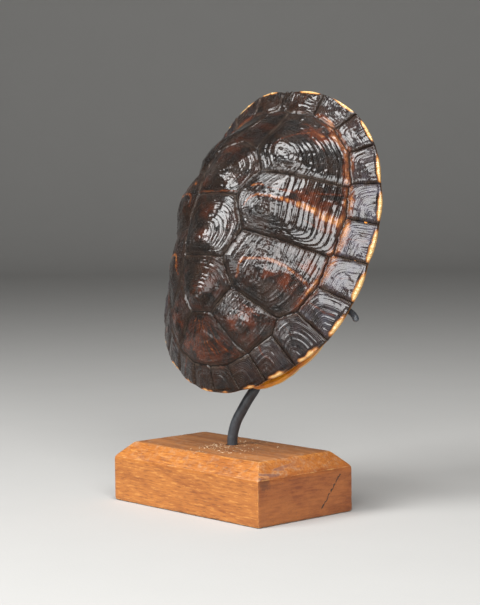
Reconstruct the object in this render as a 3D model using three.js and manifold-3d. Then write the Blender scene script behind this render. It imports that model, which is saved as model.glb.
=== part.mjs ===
// A pond turtle's whole shell, held tail down by a bent steel cradle over a bevelled hardwood block.
// Millimetres, +Z up. The origin is the middle of the block's underside, and the shell's back faces -Y.
import * as THREE from 'three';
import { mergeVertices } from 'three/addons/utils/BufferGeometryUtils.js';
import Module from 'manifold-3d';

const wasm = await Module();
wasm.setup();

// Driving dimensions of the block
const blockLength = 145.5;
const blockDepth = 83.5;
const blockHeight = 40;
const blockBevel = 10;

// Driving dimensions of the cradle
const stemRadius = 3.5;
const armRadius = 2.1;
const rodSides = 10;
const stemSteps = 28;
const armSteps = 48;
const fitGap = 0.5;
const holeRadius = 4.2;
const holeDepth = 22;
const holeSides = 20;
const rodFoot = [-3.2, 4.6];

// The shell's own frame has x to the animal's right, y to its head and z out of its back
const shellPlace = new THREE.Vector3(2.5, 29, 173.5);
const shellLean = THREE.MathUtils.degToRad(65.6);
const shellTurn = THREE.MathUtils.degToRad(4.6);

// Driving dimensions of the shell
const backStep = 6;
const bellyStep = 8;
const spineHalf = 62;
const wall = 5;
const rimEdge = { height: 2.6, slant: 0.6 };
const rimFold = { width: 12.5, depth: 8, step: 3 };
const rimBulge = 1.3;
const groove = { depth: 0.9, halfWidth: 1.5 };
const belly = { edge: 2.4, wall: 5, edgeWidth: 4, groove: 0.5, bulge: 0.8 };

// Corners where the scutes of the back meet, right half, in the shell's frame
const backCorners = {
  nuchalFront: [0, 104, 17],
  nuchalRim: [4, 104, 17],
  nuchalBack: [3, 90, 18.5],
  keel12: [0, 56, 44.5],
  keel23: [0, 15, 54.5],
  keel34: [0, -28, 52],
  keel45: [0, -62.5, 38],
  keelEnd: [0, -92.5, 15.5],
  tail: [0, -106, 5],
  v1front: [9, 87.5, 20.5],
  v12: [17, 49, 46.5],
  v2side: [25.5, 34, 45.5],
  v23: [16.5, 14, 53.5],
  v3side: [25, -7.5, 47],
  v34: [17, -28, 50],
  v4side: [23, -44.5, 39.5],
  v45: [8.5, -62.5, 37.5],
  v5side: [24.5, -79, 22],
  m12in: [27, 87, 15.5],
  m23in: [45, 79, 11],
  m34in: [60.5, 63.5, 7.5],
  m45in: [69, 42, 6],
  m56in: [72, 18, 5.5],
  m67in: [71, -8, 6.5],
  m78in: [67, -31, 8.5],
  m89in: [58.5, -50, 12],
  m910in: [45.5, -67.5, 15],
  m1011in: [31.5, -82, 16.5],
  m1112in: [15, -91, 16],
  c12out: [68, 39, 6.5],
  c23out: [69.5, -10, 8],
  c34out: [48, -56.5, 16.5],
  m12rim: [28.5, 103.5, 13],
  m23rim: [54, 92.5, 5],
  m34rim: [71, 73, -1.5],
  m45rim: [81, 47.5, -6],
  m56rim: [86.5, 20, -8.5],
  m67rim: [86.5, -7.5, -8.5],
  m78rim: [84, -34.5, -7.5],
  m89rim: [74, -61.5, -5],
  m910rim: [57.5, -81.5, 0],
  m1011rim: [39, -94, 2.5],
  m1112rim: [20.5, -102.5, 3.5],
};

// The right rim from the neck to the tail
const backRim = ['nuchalFront', 'nuchalRim', 'm12rim', 'm23rim', 'm34rim', 'm45rim', 'm56rim', 'm67rim',
  'm78rim', 'm89rim', 'm910rim', 'm1011rim', 'm1112rim', 'tail'];

// Points on the flanks that keep the dome full between its corners
const domeCrowns = [[41, 60, 27], [48, 14, 36.5], [46, -32, 28.5]];

// Scutes on the midline, right half of each outline from front to rear, with the place of the keel's knob
const midScutes = [
  { outline: ['nuchalFront', 'nuchalRim', 'nuchalBack'], core: [0, 97], knob: 0.4 },
  { outline: ['nuchalBack', 'v1front', 'v12', 'keel12'], core: [0, 68], knob: 1.8 },
  { outline: ['keel12', 'v12', 'v2side', 'v23', 'keel23'], core: [0, 26], knob: 3 },
  { outline: ['keel23', 'v23', 'v3side', 'v34', 'keel34'], core: [0, -18], knob: 3.5 },
  { outline: ['keel34', 'v34', 'v4side', 'v45', 'keel45'], core: [0, -54], knob: 4.5 },
  { outline: ['keel45', 'v45', 'v5side', 'm1011in', 'm1112in', 'keelEnd'], core: [0, -74], knob: 1.5 },
];

// Large scutes of the right flank
const flankScutes = [
  {
    outline: ['v1front', 'm12in', 'm23in', 'm34in', 'm45in', 'c12out', 'v2side', 'v12'],
    core: [35, 48],
    knob: 2.6,
  },
  { outline: ['v2side', 'c12out', 'm56in', 'm67in', 'c23out', 'v3side', 'v23'], core: [34, 8], knob: 2.4 },
  { outline: ['v3side', 'c23out', 'm78in', 'm89in', 'c34out', 'v4side', 'v34'], core: [35, -36], knob: 3.4 },
  { outline: ['v4side', 'c34out', 'm910in', 'm1011in', 'v5side', 'v45'], core: [28, -66], knob: 3.6 },
];

// Scutes of the right rim from the neck to the tail, each with its oldest corner towards the rear
const rimScutes = [
  ['nuchalRim', 'm12rim', 'm12in', 'v1front', 'nuchalBack'],
  ['m12rim', 'm23rim', 'm23in', 'm12in'],
  ['m23rim', 'm34rim', 'm34in', 'm23in'],
  ['m34rim', 'm45rim', 'm45in', 'm34in'],
  ['m45rim', 'm56rim', 'm56in', 'c12out', 'm45in'],
  ['m56rim', 'm67rim', 'm67in', 'm56in'],
  ['m67rim', 'm78rim', 'm78in', 'c23out', 'm67in'],
  ['m78rim', 'm89rim', 'm89in', 'm78in'],
  ['m89rim', 'm910rim', 'm910in', 'c34out', 'm89in'],
  ['m910rim', 'm1011rim', 'm1011in', 'm910in'],
  ['m1011rim', 'm1112rim', 'm1112in', 'm1011in'],
  ['m1112rim', 'tail', 'keelEnd', 'm1112in'],
];
const rimKnob = 0.9;

// Corners on the outer face of the belly plate and the bridges, right half
const bellyCorners = {
  bellyFront: [0, 87, -21],
  belly12: [0, 70, -24.5],
  belly23: [0, 42, -28],
  belly34: [0, 11, -28.5],
  belly45: [0, -31, -28],
  belly56: [0, -64, -25],
  bellyEnd: [0, -87, -20.5],
  throat: [17, 90, -20],
  lobeFront: [30, 82, -20.5],
  lobeSide: [45, 63, -24],
  armpit: [51, 51, -26.5],
  bridgeFrontLow: [60, 47, -22.5],
  bridgeFront: [75, 46, -6],
  bridgeMid: [80.6, 20, -6.5],
  bridgeSeam: [81, 8, -6.6],
  bridgeMidRear: [80.6, -8, -6.5],
  bridgeRear: [77.5, -33, -5.5],
  bridgeRearLow: [62, -34.5, -21.5],
  groin: [52.5, -37, -26.8],
  thighFront: [55.5, -46, -25.8],
  thighSide: [57, -56.5, -24.2],
  thighRear: [53.2, -67.4, -22.9],
  analNotch: [44.6, -77.4, -21.3],
  analSide: [38, -85, -20.2],
  analRear: [29.5, -91, -19.2],
  analTip: [16, -95.4, -18.4],
  analInner: [6, -92.5, -19],
};

const bellyRim = ['bellyFront', 'throat', 'lobeFront', 'lobeSide', 'armpit', 'bridgeFrontLow',
  'bridgeFront', 'bridgeMid', 'bridgeSeam', 'bridgeMidRear', 'bridgeRear', 'bridgeRearLow', 'groin',
  'thighFront', 'thighSide', 'thighRear', 'analNotch', 'analSide', 'analRear', 'analTip', 'analInner',
  'bellyEnd'];

// Points that keep the belly flat between the bridges
const bellyFlats = [
  [30, 42, -28],
  [46, 25, -28],
  [46, 0, -28],
  [46, -22, -28],
  [30, -31, -28],
  [66, 8, -20.5],
];

const bellyScutes = [
  { outline: ['bellyFront', 'belly12', 'throat'], core: [6, 82] },
  { outline: ['belly12', 'belly23', 'armpit', 'lobeSide', 'lobeFront', 'throat'], core: [24, 64] },
  {
    outline: ['belly23', 'belly34', 'bridgeSeam', 'bridgeMid', 'bridgeFront', 'bridgeFrontLow', 'armpit'],
    core: [42, 30],
  },
  {
    outline: ['belly34', 'belly45', 'groin', 'bridgeRearLow', 'bridgeRear', 'bridgeMidRear', 'bridgeSeam'],
    core: [42, -14],
  },
  {
    outline: ['belly45', 'belly56', 'analNotch', 'thighRear', 'thighSide', 'thighFront', 'groin'],
    core: [28, -54],
  },
  {
    outline: ['belly56', 'bellyEnd', 'analInner', 'analTip', 'analRear', 'analSide', 'analNotch'],
    core: [22, -80],
  },
];

// The stem's centreline above the block, in the block's frame
const stemPath = [
  [-2.9, 4.8, 46.2],
  [-0.3, 5.8, 55.5],
  [4.1, 7.5, 63.9],
  [7.7, 9.8, 71.2],
  [11.3, 12.7, 78.4],
];

// Where the stem and the thinner cross arm lie on the belly plate, in the shell's frame
const stemRests = [[7, -82], [6, -68], [4, -56], [1, -39]];
const armRests = [[0, -43], [24, -43], [48, -42.5]];

// The right arm's way round the belly plate, under the rear edge of the bridge and out past the rim
const armPath = [
  [56, -41.2, -29.6],
  [60, -39, -25],
  [64, -37.2, -20.4],
  [68.5, -36.6, -17.2],
  [73, -37, -16.2],
  [77, -38.2, -16.2],
  [81, -40.4, -16.3],
  [83.4, -42.7, -16.3],
  [84, -44.9, -16.4],
];

const mix = (a, b, t) => a.map((value, i) => value + (b[i] - value) * t);
const distance = (a, b) => Math.hypot(a[0] - b[0], a[1] - b[1]);
const mirrored = ([x, ...rest]) => [-x, ...rest];

// The height of a thin elastic plate bent through given points and their mirror images
function bentPlate(rightPoints) {
  const points = rightPoints.flatMap((p) => (p[0] > 0 ? [p, mirrored(p)] : [p]));
  const softness = 60;
  const size = points.length + 3;
  const bend = (x, y, q) => {
    const square = (x - q[0]) ** 2 + (y - q[1]) ** 2;
    return square > 0 ? square * Math.log(square) : 0;
  };
  const rows = points.map(([x, y, z], i) => {
    const row = points.map((q) => bend(x, y, q));
    row[i] += softness;
    return [...row, 1, x, y, z];
  });
  for (const term of [() => 1, (p) => p[0], (p) => p[1]]) rows.push([...points.map(term), 0, 0, 0, 0]);
  for (let column = 0; column < size; column++) {
    let best = column;
    for (let row = column; row < size; row++) {
      if (Math.abs(rows[row][column]) > Math.abs(rows[best][column])) best = row;
    }
    [rows[column], rows[best]] = [rows[best], rows[column]];
    for (let row = 0; row < size; row++) {
      const factor = row === column ? 0 : rows[row][column] / rows[column][column];
      for (let k = column; k <= size; k++) rows[row][k] -= factor * rows[column][k];
    }
  }
  const weights = rows.map((row, i) => row[size] / row[i]);
  const [level, slopeX, slopeY] = weights.slice(-3);
  return (x, y) => {
    const flat = level + slopeX * x + slopeY * y;
    return points.reduce((sum, q, i) => sum + weights[i] * bend(x, y, q), flat);
  };
}

const backHeight = bentPlate([...Object.values(backCorners), ...domeCrowns]);
const bellyHeight = bentPlate([...Object.values(bellyCorners), ...bellyFlats]);

// Gathers the triangles of one closed skin
class Skin {
  positions = [];

  triangle(a, b, c) {
    this.positions.push(...a, ...b, ...c);
  }

  // A band of triangles between two closed rings with the same number of points
  band(outer, inner) {
    outer.forEach((p, i) => {
      const next = (i + 1) % outer.length;
      this.triangle(p, outer[next], inner[next]);
      this.triangle(p, inner[next], inner[i]);
    });
  }

  fan(ring, centre) {
    ring.forEach((p, i) => this.triangle(p, ring[(i + 1) % ring.length], centre));
  }

  // Rungs across a ring that starts on the midline and whose second half mirrors its first
  ladder(ring) {
    for (let i = 0; i < ring.length / 2; i++) {
      const left = ring.length - i;
      this.triangle(ring[i], ring[i + 1], ring[left - 1]);
      this.triangle(ring[i], ring[left - 1], ring[left % ring.length]);
    }
  }

  solid() {
    const geometry = new THREE.BufferGeometry();
    geometry.setAttribute('position', new THREE.Float32BufferAttribute(this.positions, 3));
    return toSolid(geometry);
  }
}

function toSolid(geometry) {
  geometry.deleteAttribute('normal');
  geometry.deleteAttribute('uv');
  const merged = mergeVertices(geometry, 1e-3);
  const corners = merged.index.array;
  const triangles = [];
  for (let i = 0; i < corners.length; i += 3) {
    const triangle = corners.slice(i, i + 3);
    if (new Set(triangle).size === 3) triangles.push(...triangle);
  }
  const vertProperties = new Float32Array(merged.attributes.position.array);
  const triVerts = new Uint32Array(triangles);
  return new wasm.Manifold(new wasm.Mesh({ numProp: 3, vertProperties, triVerts }));
}

function toMesh(name, solid, material) {
  const { vertProperties, triVerts } = solid.getMesh();
  const geometry = new THREE.BufferGeometry();
  geometry.setAttribute('position', new THREE.BufferAttribute(vertProperties, 3));
  geometry.setIndex(new THREE.BufferAttribute(triVerts, 1));
  geometry.computeVertexNormals();
  const mesh = new THREE.Mesh(geometry, new THREE.MeshStandardMaterial(material));
  mesh.name = name;
  return mesh;
}

// Named corners of the right half, its rim and its mesh step; -name is the corner's left-hand twin
class CornerTable {
  constructor(corners, rim, step, bulge) {
    Object.assign(this, { corners, rim, step, bulge });
  }

  at(name) {
    return name.startsWith('-') ? mirrored(this.corners[name.slice(1)]) : this.corners[name];
  }

  onRim(name) {
    return this.rim.includes(name.replace('-', ''));
  }

  // Points from one corner up to but not including the next, the same whichever way the edge is walked
  edge(from, to) {
    const forward = from.replace('-', '') < to.replace('-', '');
    const [first, last] = forward ? [from, to] : [to, from];
    const [start, end] = [this.at(first), this.at(last)];
    const alongRim = this.onRim(first) && this.onRim(last);
    const count = Math.max(1, Math.round(distance(start, end) / this.step));
    const middle = mix(start, end, 0.5);
    const bulge = alongRim ? this.bulge / Math.hypot(middle[0], middle[1]) : 0;
    const points = [{ x: start[0], y: start[1], inRim: this.onRim(first) }];
    for (let k = 1; k < count; k++) {
      const [x, y] = mix(start, end, k / count);
      const push = bulge * Math.sin((Math.PI * k) / count);
      points.push({ x: x + middle[0] * push, y: y + middle[1] * push, inRim: alongRim });
    }
    points.push({ x: end[0], y: end[1], inRim: this.onRim(last) });
    return (forward ? points : points.reverse()).slice(0, -1);
  }

  loop(names) {
    return names.flatMap((name, i) => this.edge(name, names[(i + 1) % names.length]));
  }

  // The outline of a scute that lies across the midline, from the right half of it
  across(names) {
    const left = names.filter((name) => this.corners[name][0] > 0).reverse().map((name) => `-${name}`);
    return this.loop([...names, ...left]);
  }
}

const backTable = new CornerTable(backCorners, backRim, backStep, rimBulge);
const bellyTable = new CornerTable(bellyCorners, bellyRim, bellyStep, belly.bulge);

// Turns a loop so that its faces look along +z when side is 1 and along -z when it is -1
function facing(loop, side) {
  const area = loop.reduce((sum, p, i) => {
    const q = loop[(i + 1) % loop.length];
    return sum + p.x * q.y - q.x * p.y;
  }, 0);
  return area * side > 0 ? loop : [...loop].reverse();
}

// One scute: a groove along its edge, a shoulder, then rings that rise to its oldest part
function addScute(skin, loop, core, { height, side, depth, knob, rings }) {
  const place = ([x, y], rise) => [x, y, height(x, y) + side * rise];
  const outline = facing(loop, side);
  const ring = (share, rise) => outline.map((p) => place(mix(core, [p.x, p.y], share), rise));
  const shoulder = outline.map((p) => {
    const reach = distance(core, [p.x, p.y]);
    return place(mix([p.x, p.y], core, Math.min(0.35, groove.halfWidth / reach)), 0);
  });
  const loops = [outline.map((p) => place([p.x, p.y], p.inRim ? 0 : -depth)), shoulder];
  for (const [share, rise] of rings) loops.push(ring(share, rise * knob));
  for (let k = 0; k + 1 < loops.length; k++) skin.band(loops[k], loops[k + 1]);
  skin.fan(loops[loops.length - 1], place(core, knob));
}

const spineBeside = (y) => [0, THREE.MathUtils.clamp(y * 0.75, -spineHalf, spineHalf)];

// A rim point moved towards the spine by a share of the way, or by a distance
const insetShare = ({ x, y }, share) => mix([x, y], spineBeside(y), share);
const insetBy = (p, width) => insetShare(p, width / distance([p.x, p.y], spineBeside(p.y)));

// The whole rim, clockwise from above, starting at the middle of the front
function wholeRim(table) {
  const right = [];
  for (let i = 0; i + 1 < table.rim.length; i++) right.push(...table.edge(table.rim[i], table.rim[i + 1]));
  const [x, y] = table.at(table.rim[table.rim.length - 1]);
  const left = right.slice(1).reverse().map((p) => ({ ...p, x: -p.x }));
  return [...right, { x, y, inRim: true }, ...left];
}

const reversedRing = (ring) => [ring[0], ...ring.slice(1).reverse()];

function carapace() {
  const skin = new Skin();
  const look = { height: backHeight, side: 1, depth: groove.depth };
  for (const { outline, core, knob } of midScutes) {
    addScute(skin, backTable.across(outline), core, { ...look, knob, rings: [[0.6, 0.15], [0.25, 0.7]] });
  }
  for (const { outline, core, knob } of flankScutes) {
    const form = { ...look, knob, rings: [[0.74, 0.3], [0.5, 0.45], [0.26, 0.95]] };
    const left = outline.map((name) => `-${name}`);
    addScute(skin, backTable.loop(outline), core, form);
    addScute(skin, backTable.loop(left), mirrored(core), form);
  }
  for (const outline of rimScutes) {
    const rear = backTable.at(outline[1]);
    const opposite = mix(backTable.at(outline[0]), backTable.at(outline[2]), 0.5);
    const core = mix(opposite, rear, 0.3).slice(0, 2);
    const form = { ...look, knob: rimKnob, rings: [[0.55, 0.85]] };
    const left = outline.map((name) => (backCorners[name][0] > 0 ? `-${name}` : name));
    addScute(skin, backTable.loop(outline), core, form);
    addScute(skin, backTable.loop(left), mirrored(core), form);
  }

  const rim = wholeRim(backTable);
  const under = ([x, y], drop) => [x, y, backHeight(x, y) - drop];
  const layers = [
    rim.map(({ x, y }) => [x, y, backHeight(x, y)]),
    rim.map((p) => [...insetBy(p, rimEdge.slant), backHeight(p.x, p.y) - rimEdge.height]),
    rim.map((p) => under(insetBy(p, rimFold.width), rimFold.depth)),
    rim.map((p) => under(insetBy(p, rimFold.width + rimFold.step), wall)),
    rim.map((p) => under(insetShare(p, 0.45), wall)),
    rim.map((p) => under(insetShare(p, 0.75), wall)),
  ];
  for (let k = 0; k + 1 < layers.length; k++) skin.band(layers[k], layers[k + 1]);
  skin.ladder(layers[layers.length - 1]);
  return skin.solid();
}

function plastron() {
  const skin = new Skin();
  const form = { height: bellyHeight, side: -1, depth: belly.groove, knob: 0, rings: [[0.5, 0]] };
  for (const { outline, core } of bellyScutes) {
    const left = outline.map((name) => (bellyCorners[name][0] > 0 ? `-${name}` : name));
    addScute(skin, bellyTable.loop(outline), core, form);
    addScute(skin, bellyTable.loop(left), mirrored(core), form);
  }
  const rim = wholeRim(bellyTable);
  const above = ([x, y], rise) => [x, y, bellyHeight(x, y) + rise];
  const layers = [
    rim.map(({ x, y }) => above([x, y], belly.edge)),
    rim.map((p) => above(insetBy(p, belly.edgeWidth), belly.wall)),
    rim.map((p) => above(insetShare(p, 0.2), belly.wall)),
    rim.map((p) => above(insetShare(p, 0.4), belly.wall)),
    rim.map((p) => above(insetShare(p, 0.65), belly.wall)),
  ];
  skin.band(layers[0], rim.map(({ x, y }) => above([x, y], 0)));
  const turned = layers.map(reversedRing);
  for (let k = 0; k + 1 < turned.length; k++) skin.band(turned[k], turned[k + 1]);
  skin.ladder(turned[turned.length - 1]);
  return skin.solid();
}

function shell() {
  const solid = carapace().add(plastron());
  const mesh = toMesh('shell', solid, { color: 0x2b2019, roughness: 0.35, metalness: 0 });
  const stand = new THREE.Group();
  stand.rotation.set(shellLean, 0, shellTurn, 'ZYX');
  stand.position.copy(shellPlace);
  stand.add(mesh);
  return stand;
}

function rodAlong(points, radius, steps) {
  const curve = new THREE.CatmullRomCurve3(points, false, 'centripetal');
  const section = new THREE.Shape().absarc(0, 0, radius, 0, Math.PI * 2);
  const options = { steps, bevelEnabled: false, extrudePath: curve, curveSegments: rodSides / 2 };
  return toSolid(new THREE.ExtrudeGeometry(section, options));
}

function cradle() {
  const toBlockFrame = new THREE.Matrix4().makeRotationZ(shellTurn)
    .multiply(new THREE.Matrix4().makeRotationX(shellLean)).setPosition(shellPlace);
  const fromShell = (p) => new THREE.Vector3(...p).applyMatrix4(toBlockFrame);
  const resting = (radius) => ([x, y]) => [x, y, bellyHeight(x, y) - radius - fitGap];
  const foot = [blockHeight - holeDepth + fitGap, blockHeight - 8, blockHeight].map((z) => [...rodFoot, z]);
  const stem = [
    ...[...foot, ...stemPath].map((p) => new THREE.Vector3(...p)),
    ...stemRests.map(resting(stemRadius)).map(fromShell),
  ];
  const rightArm = [...armRests.map(resting(armRadius)), ...armPath];
  const leftArm = rightArm.slice(1).reverse().map(mirrored);
  const arms = [...leftArm, ...rightArm].map(fromShell);
  const solid = rodAlong(stem, stemRadius, stemSteps).add(rodAlong(arms, armRadius, armSteps));
  return toMesh('steel_cradle', solid, { color: 0x23262b, roughness: 0.42, metalness: 0.3 });
}

// A bar with bevelled top edges, centred on the origin, lying along x or y
function bevelledBar(length, width, alongX) {
  const half = width / 2;
  const section = new THREE.Shape([
    new THREE.Vector2(-half, 0),
    new THREE.Vector2(half, 0),
    new THREE.Vector2(half, blockHeight - blockBevel),
    new THREE.Vector2(half - blockBevel, blockHeight),
    new THREE.Vector2(blockBevel - half, blockHeight),
    new THREE.Vector2(-half, blockHeight - blockBevel),
  ]);
  const bar = new THREE.ExtrudeGeometry(section, { depth: length, bevelEnabled: false });
  bar.translate(0, 0, -length / 2).rotateX(Math.PI / 2);
  if (alongX) bar.rotateZ(Math.PI / 2);
  return toSolid(bar);
}

function block() {
  const hole = new THREE.CylinderGeometry(holeRadius, holeRadius, holeDepth * 2, holeSides);
  hole.rotateX(Math.PI / 2).translate(...rodFoot, blockHeight);
  const solid = bevelledBar(blockLength, blockDepth, true)
    .intersect(bevelledBar(blockDepth, blockLength, false))
    .subtract(toSolid(hole));
  return toMesh('wooden_block', solid, { color: 0xa9602c, roughness: 0.55, metalness: 0 });
}

const mount = new THREE.Group();
mount.add(shell(), cradle(), block());

export default mount;
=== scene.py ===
# A pond turtle's whole shell, tail down on a bent steel cradle over a bevelled hardwood block.
# Tables of the shell are millimetres in its own frame: x to the animal's right, y to its head, z out of
# its back.
import math

import bpy
import numpy as np
from mathutils import Matrix, Vector, geometry


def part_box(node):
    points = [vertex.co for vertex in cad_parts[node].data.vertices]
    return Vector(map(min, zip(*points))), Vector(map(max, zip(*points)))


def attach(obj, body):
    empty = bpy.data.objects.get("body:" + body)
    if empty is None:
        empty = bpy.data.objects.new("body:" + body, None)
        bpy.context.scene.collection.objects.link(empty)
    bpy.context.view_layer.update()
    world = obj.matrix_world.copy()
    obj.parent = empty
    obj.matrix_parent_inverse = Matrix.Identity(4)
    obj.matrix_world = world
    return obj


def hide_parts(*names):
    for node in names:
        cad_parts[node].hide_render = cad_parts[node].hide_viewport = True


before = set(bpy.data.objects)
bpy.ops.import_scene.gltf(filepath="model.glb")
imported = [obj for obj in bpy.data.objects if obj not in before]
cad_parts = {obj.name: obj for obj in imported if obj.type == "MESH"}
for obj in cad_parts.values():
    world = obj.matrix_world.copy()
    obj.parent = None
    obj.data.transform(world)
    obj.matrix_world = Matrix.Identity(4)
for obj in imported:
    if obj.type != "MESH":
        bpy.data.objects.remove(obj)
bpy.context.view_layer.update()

bl_info = {
    "name": "Mounted Turtle Shell",
    "version": (1, 0, 0),
    "blender": (4, 5, 0),
    "location": "3D View > Sidebar > Turtle Shell",
    "description": "Builds the horn, bone, steel and wood of a turtle shell on its stand",
    "category": "Object",
}

MM = 0.001
BLOCK_LOW, BLOCK_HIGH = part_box("wooden_block")

# How the shell stands over the block, in millimetres and degrees
SHELL_PLACE = (2.5, 29.0, 173.5)
SHELL_LEAN = 65.6
SHELL_TURN = 4.6

# Corners where the scutes of the back meet, right half
BACK_CORNERS = {
    "nuchalFront": (0, 104, 17),
    "nuchalRim": (4, 104, 17),
    "nuchalBack": (3, 90, 18.5),
    "keel12": (0, 56, 44.5),
    "keel23": (0, 15, 54.5),
    "keel34": (0, -28, 52),
    "keel45": (0, -62.5, 38),
    "keelEnd": (0, -92.5, 15.5),
    "tail": (0, -106, 5),
    "v1front": (9, 87.5, 20.5),
    "v12": (17, 49, 46.5),
    "v2side": (25.5, 34, 45.5),
    "v23": (16.5, 14, 53.5),
    "v3side": (25, -7.5, 47),
    "v34": (17, -28, 50),
    "v4side": (23, -44.5, 39.5),
    "v45": (8.5, -62.5, 37.5),
    "v5side": (24.5, -79, 22),
    "m12in": (27, 87, 15.5),
    "m23in": (45, 79, 11),
    "m34in": (60.5, 63.5, 7.5),
    "m45in": (69, 42, 6),
    "m56in": (72, 18, 5.5),
    "m67in": (71, -8, 6.5),
    "m78in": (67, -31, 8.5),
    "m89in": (58.5, -50, 12),
    "m910in": (45.5, -67.5, 15),
    "m1011in": (31.5, -82, 16.5),
    "m1112in": (15, -91, 16),
    "c12out": (68, 39, 6.5),
    "c23out": (69.5, -10, 8),
    "c34out": (48, -56.5, 16.5),
    "m12rim": (28.5, 103.5, 13),
    "m23rim": (54, 92.5, 5),
    "m34rim": (71, 73, -1.5),
    "m45rim": (81, 47.5, -6),
    "m56rim": (86.5, 20, -8.5),
    "m67rim": (86.5, -7.5, -8.5),
    "m78rim": (84, -34.5, -7.5),
    "m89rim": (74, -61.5, -5),
    "m910rim": (57.5, -81.5, 0),
    "m1011rim": (39, -94, 2.5),
    "m1112rim": (20.5, -102.5, 3.5),
}
BACK_RIM = (
    "nuchalFront", "nuchalRim", "m12rim", "m23rim", "m34rim", "m45rim", "m56rim", "m67rim",
    "m78rim", "m89rim", "m910rim", "m1011rim", "m1112rim", "tail",
)
# Points on the crown of the flanks, between the corners
DOME_CROWNS = ((41, 60, 27), (48, 14, 36.5), (46, -32, 28.5))

# Corners on the outer face of the belly plate and the bridges, right half
BELLY_CORNERS = {
    "bellyFront": (0, 87, -21),
    "belly12": (0, 70, -24.5),
    "belly23": (0, 42, -28),
    "belly34": (0, 11, -28.5),
    "belly45": (0, -31, -28),
    "belly56": (0, -64, -25),
    "bellyEnd": (0, -87, -20.5),
    "throat": (17, 90, -20),
    "lobeFront": (30, 82, -20.5),
    "lobeSide": (45, 63, -24),
    "armpit": (51, 51, -26.5),
    "bridgeFrontLow": (60, 47, -22.5),
    "bridgeFront": (75, 46, -6),
    "bridgeMid": (80.6, 20, -6.5),
    "bridgeSeam": (81, 8, -6.6),
    "bridgeMidRear": (80.6, -8, -6.5),
    "bridgeRear": (77.5, -33, -5.5),
    "bridgeRearLow": (62, -34.5, -21.5),
    "groin": (52.5, -37, -26.8),
    "thighFront": (55.5, -46, -25.8),
    "thighSide": (57, -56.5, -24.2),
    "thighRear": (53.2, -67.4, -22.9),
    "analNotch": (44.6, -77.4, -21.3),
    "analSide": (38, -85, -20.2),
    "analRear": (29.5, -91, -19.2),
    "analTip": (16, -95.4, -18.4),
    "analInner": (6, -92.5, -19),
}
BELLY_RIM = (
    "bellyFront", "throat", "lobeFront", "lobeSide", "armpit", "bridgeFrontLow", "bridgeFront",
    "bridgeMid", "bridgeSeam", "bridgeMidRear", "bridgeRear", "bridgeRearLow", "groin", "thighFront",
    "thighSide", "thighRear", "analNotch", "analSide", "analRear", "analTip", "analInner", "bellyEnd",
)
# Points on the flat of the belly plate and on the bridge, between the corners
BELLY_FLATS = (
    (30, 42, -28), (46, 25, -28), (46, 0, -28), (46, -22, -28), (30, -31, -28), (66, 8, -20.5),
)

# Keel scutes: right half of each outline from front to rear, the middle and height of the knob, growth rings,
# russet share
KEEL_SCUTES = (
    (("nuchalFront", "nuchalRim", "nuchalBack"), (0, 97), 0.4, 3, 0),
    (("nuchalBack", "v1front", "v12", "keel12"), (0, 68), 1.8, 10, 0.1),
    (("keel12", "v12", "v2side", "v23", "keel23"), (0, 26), 3, 10, 0.1),
    (("keel23", "v23", "v3side", "v34", "keel34"), (0, -18), 3.5, 10, 0.1),
    (("keel34", "v34", "v4side", "v45", "keel45"), (0, -54), 4.5, 10, 0.25),
    (("keel45", "v45", "v5side", "m1011in", "m1112in", "keelEnd"), (0, -74), 1.5, 8, 0.5),
)

# Flank scutes of the right side: the same, with the first corner of the side along which no growth rings run
FLANK_SCUTES = (
    (
        ("v1front", "m12in", "m23in", "m34in", "m45in", "c12out", "v2side", "v12"),
        (32, 46), 2.6, 13, "c12out", 0.05,
    ),
    (("v2side", "c12out", "m56in", "m67in", "c23out", "v3side", "v23"), (33, 7), 2.4, 14, "v2side", 0.2),
    (("v3side", "c23out", "m78in", "m89in", "c34out", "v4side", "v34"), (34, -36), 3.4, 13, "v3side", 0.25),
    (("v4side", "c34out", "m910in", "m1011in", "v5side", "v45"), (26, -66), 3.6, 11, "v4side", 0.5),
)

# Rim scutes of the right side from the neck to the tail; the first side of each lies on the rim
RIM_SCUTES = (
    ("nuchalRim", "m12rim", "m12in", "v1front", "nuchalBack"),
    ("m12rim", "m23rim", "m23in", "m12in"),
    ("m23rim", "m34rim", "m34in", "m23in"),
    ("m34rim", "m45rim", "m45in", "m34in"),
    ("m45rim", "m56rim", "m56in", "c12out", "m45in"),
    ("m56rim", "m67rim", "m67in", "m56in"),
    ("m67rim", "m78rim", "m78in", "c23out", "m67in"),
    ("m78rim", "m89rim", "m89in", "m78in"),
    ("m89rim", "m910rim", "m910in", "c34out", "m89in"),
    ("m910rim", "m1011rim", "m1011in", "m910in"),
    ("m1011rim", "m1112rim", "m1112in", "m1011in"),
    ("m1112rim", "tail", "keelEnd", "m1112in"),
)
# How far the cream of each rim scute spreads from the rim, as a share, how grey its painted sheen is (a
# painted reflection), and its rings
RIM_CREAM = (0.03, 0.03, 0.05, 0.05, 0.06, 0.055, 0.045, 0.03, 0.022, 0.016, 0.012, 0.012)
RIM_PAINTED_SHEEN = (0.0, 0.05, 0.1, 0.25, 0.6, 0.75, 0.65, 0.35, 0.1, 0.1, 0.05, 0.0)
RIM_RINGS = (5, 5, 5, 5, 6, 6, 6, 6, 7, 6, 5, 5)

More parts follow.
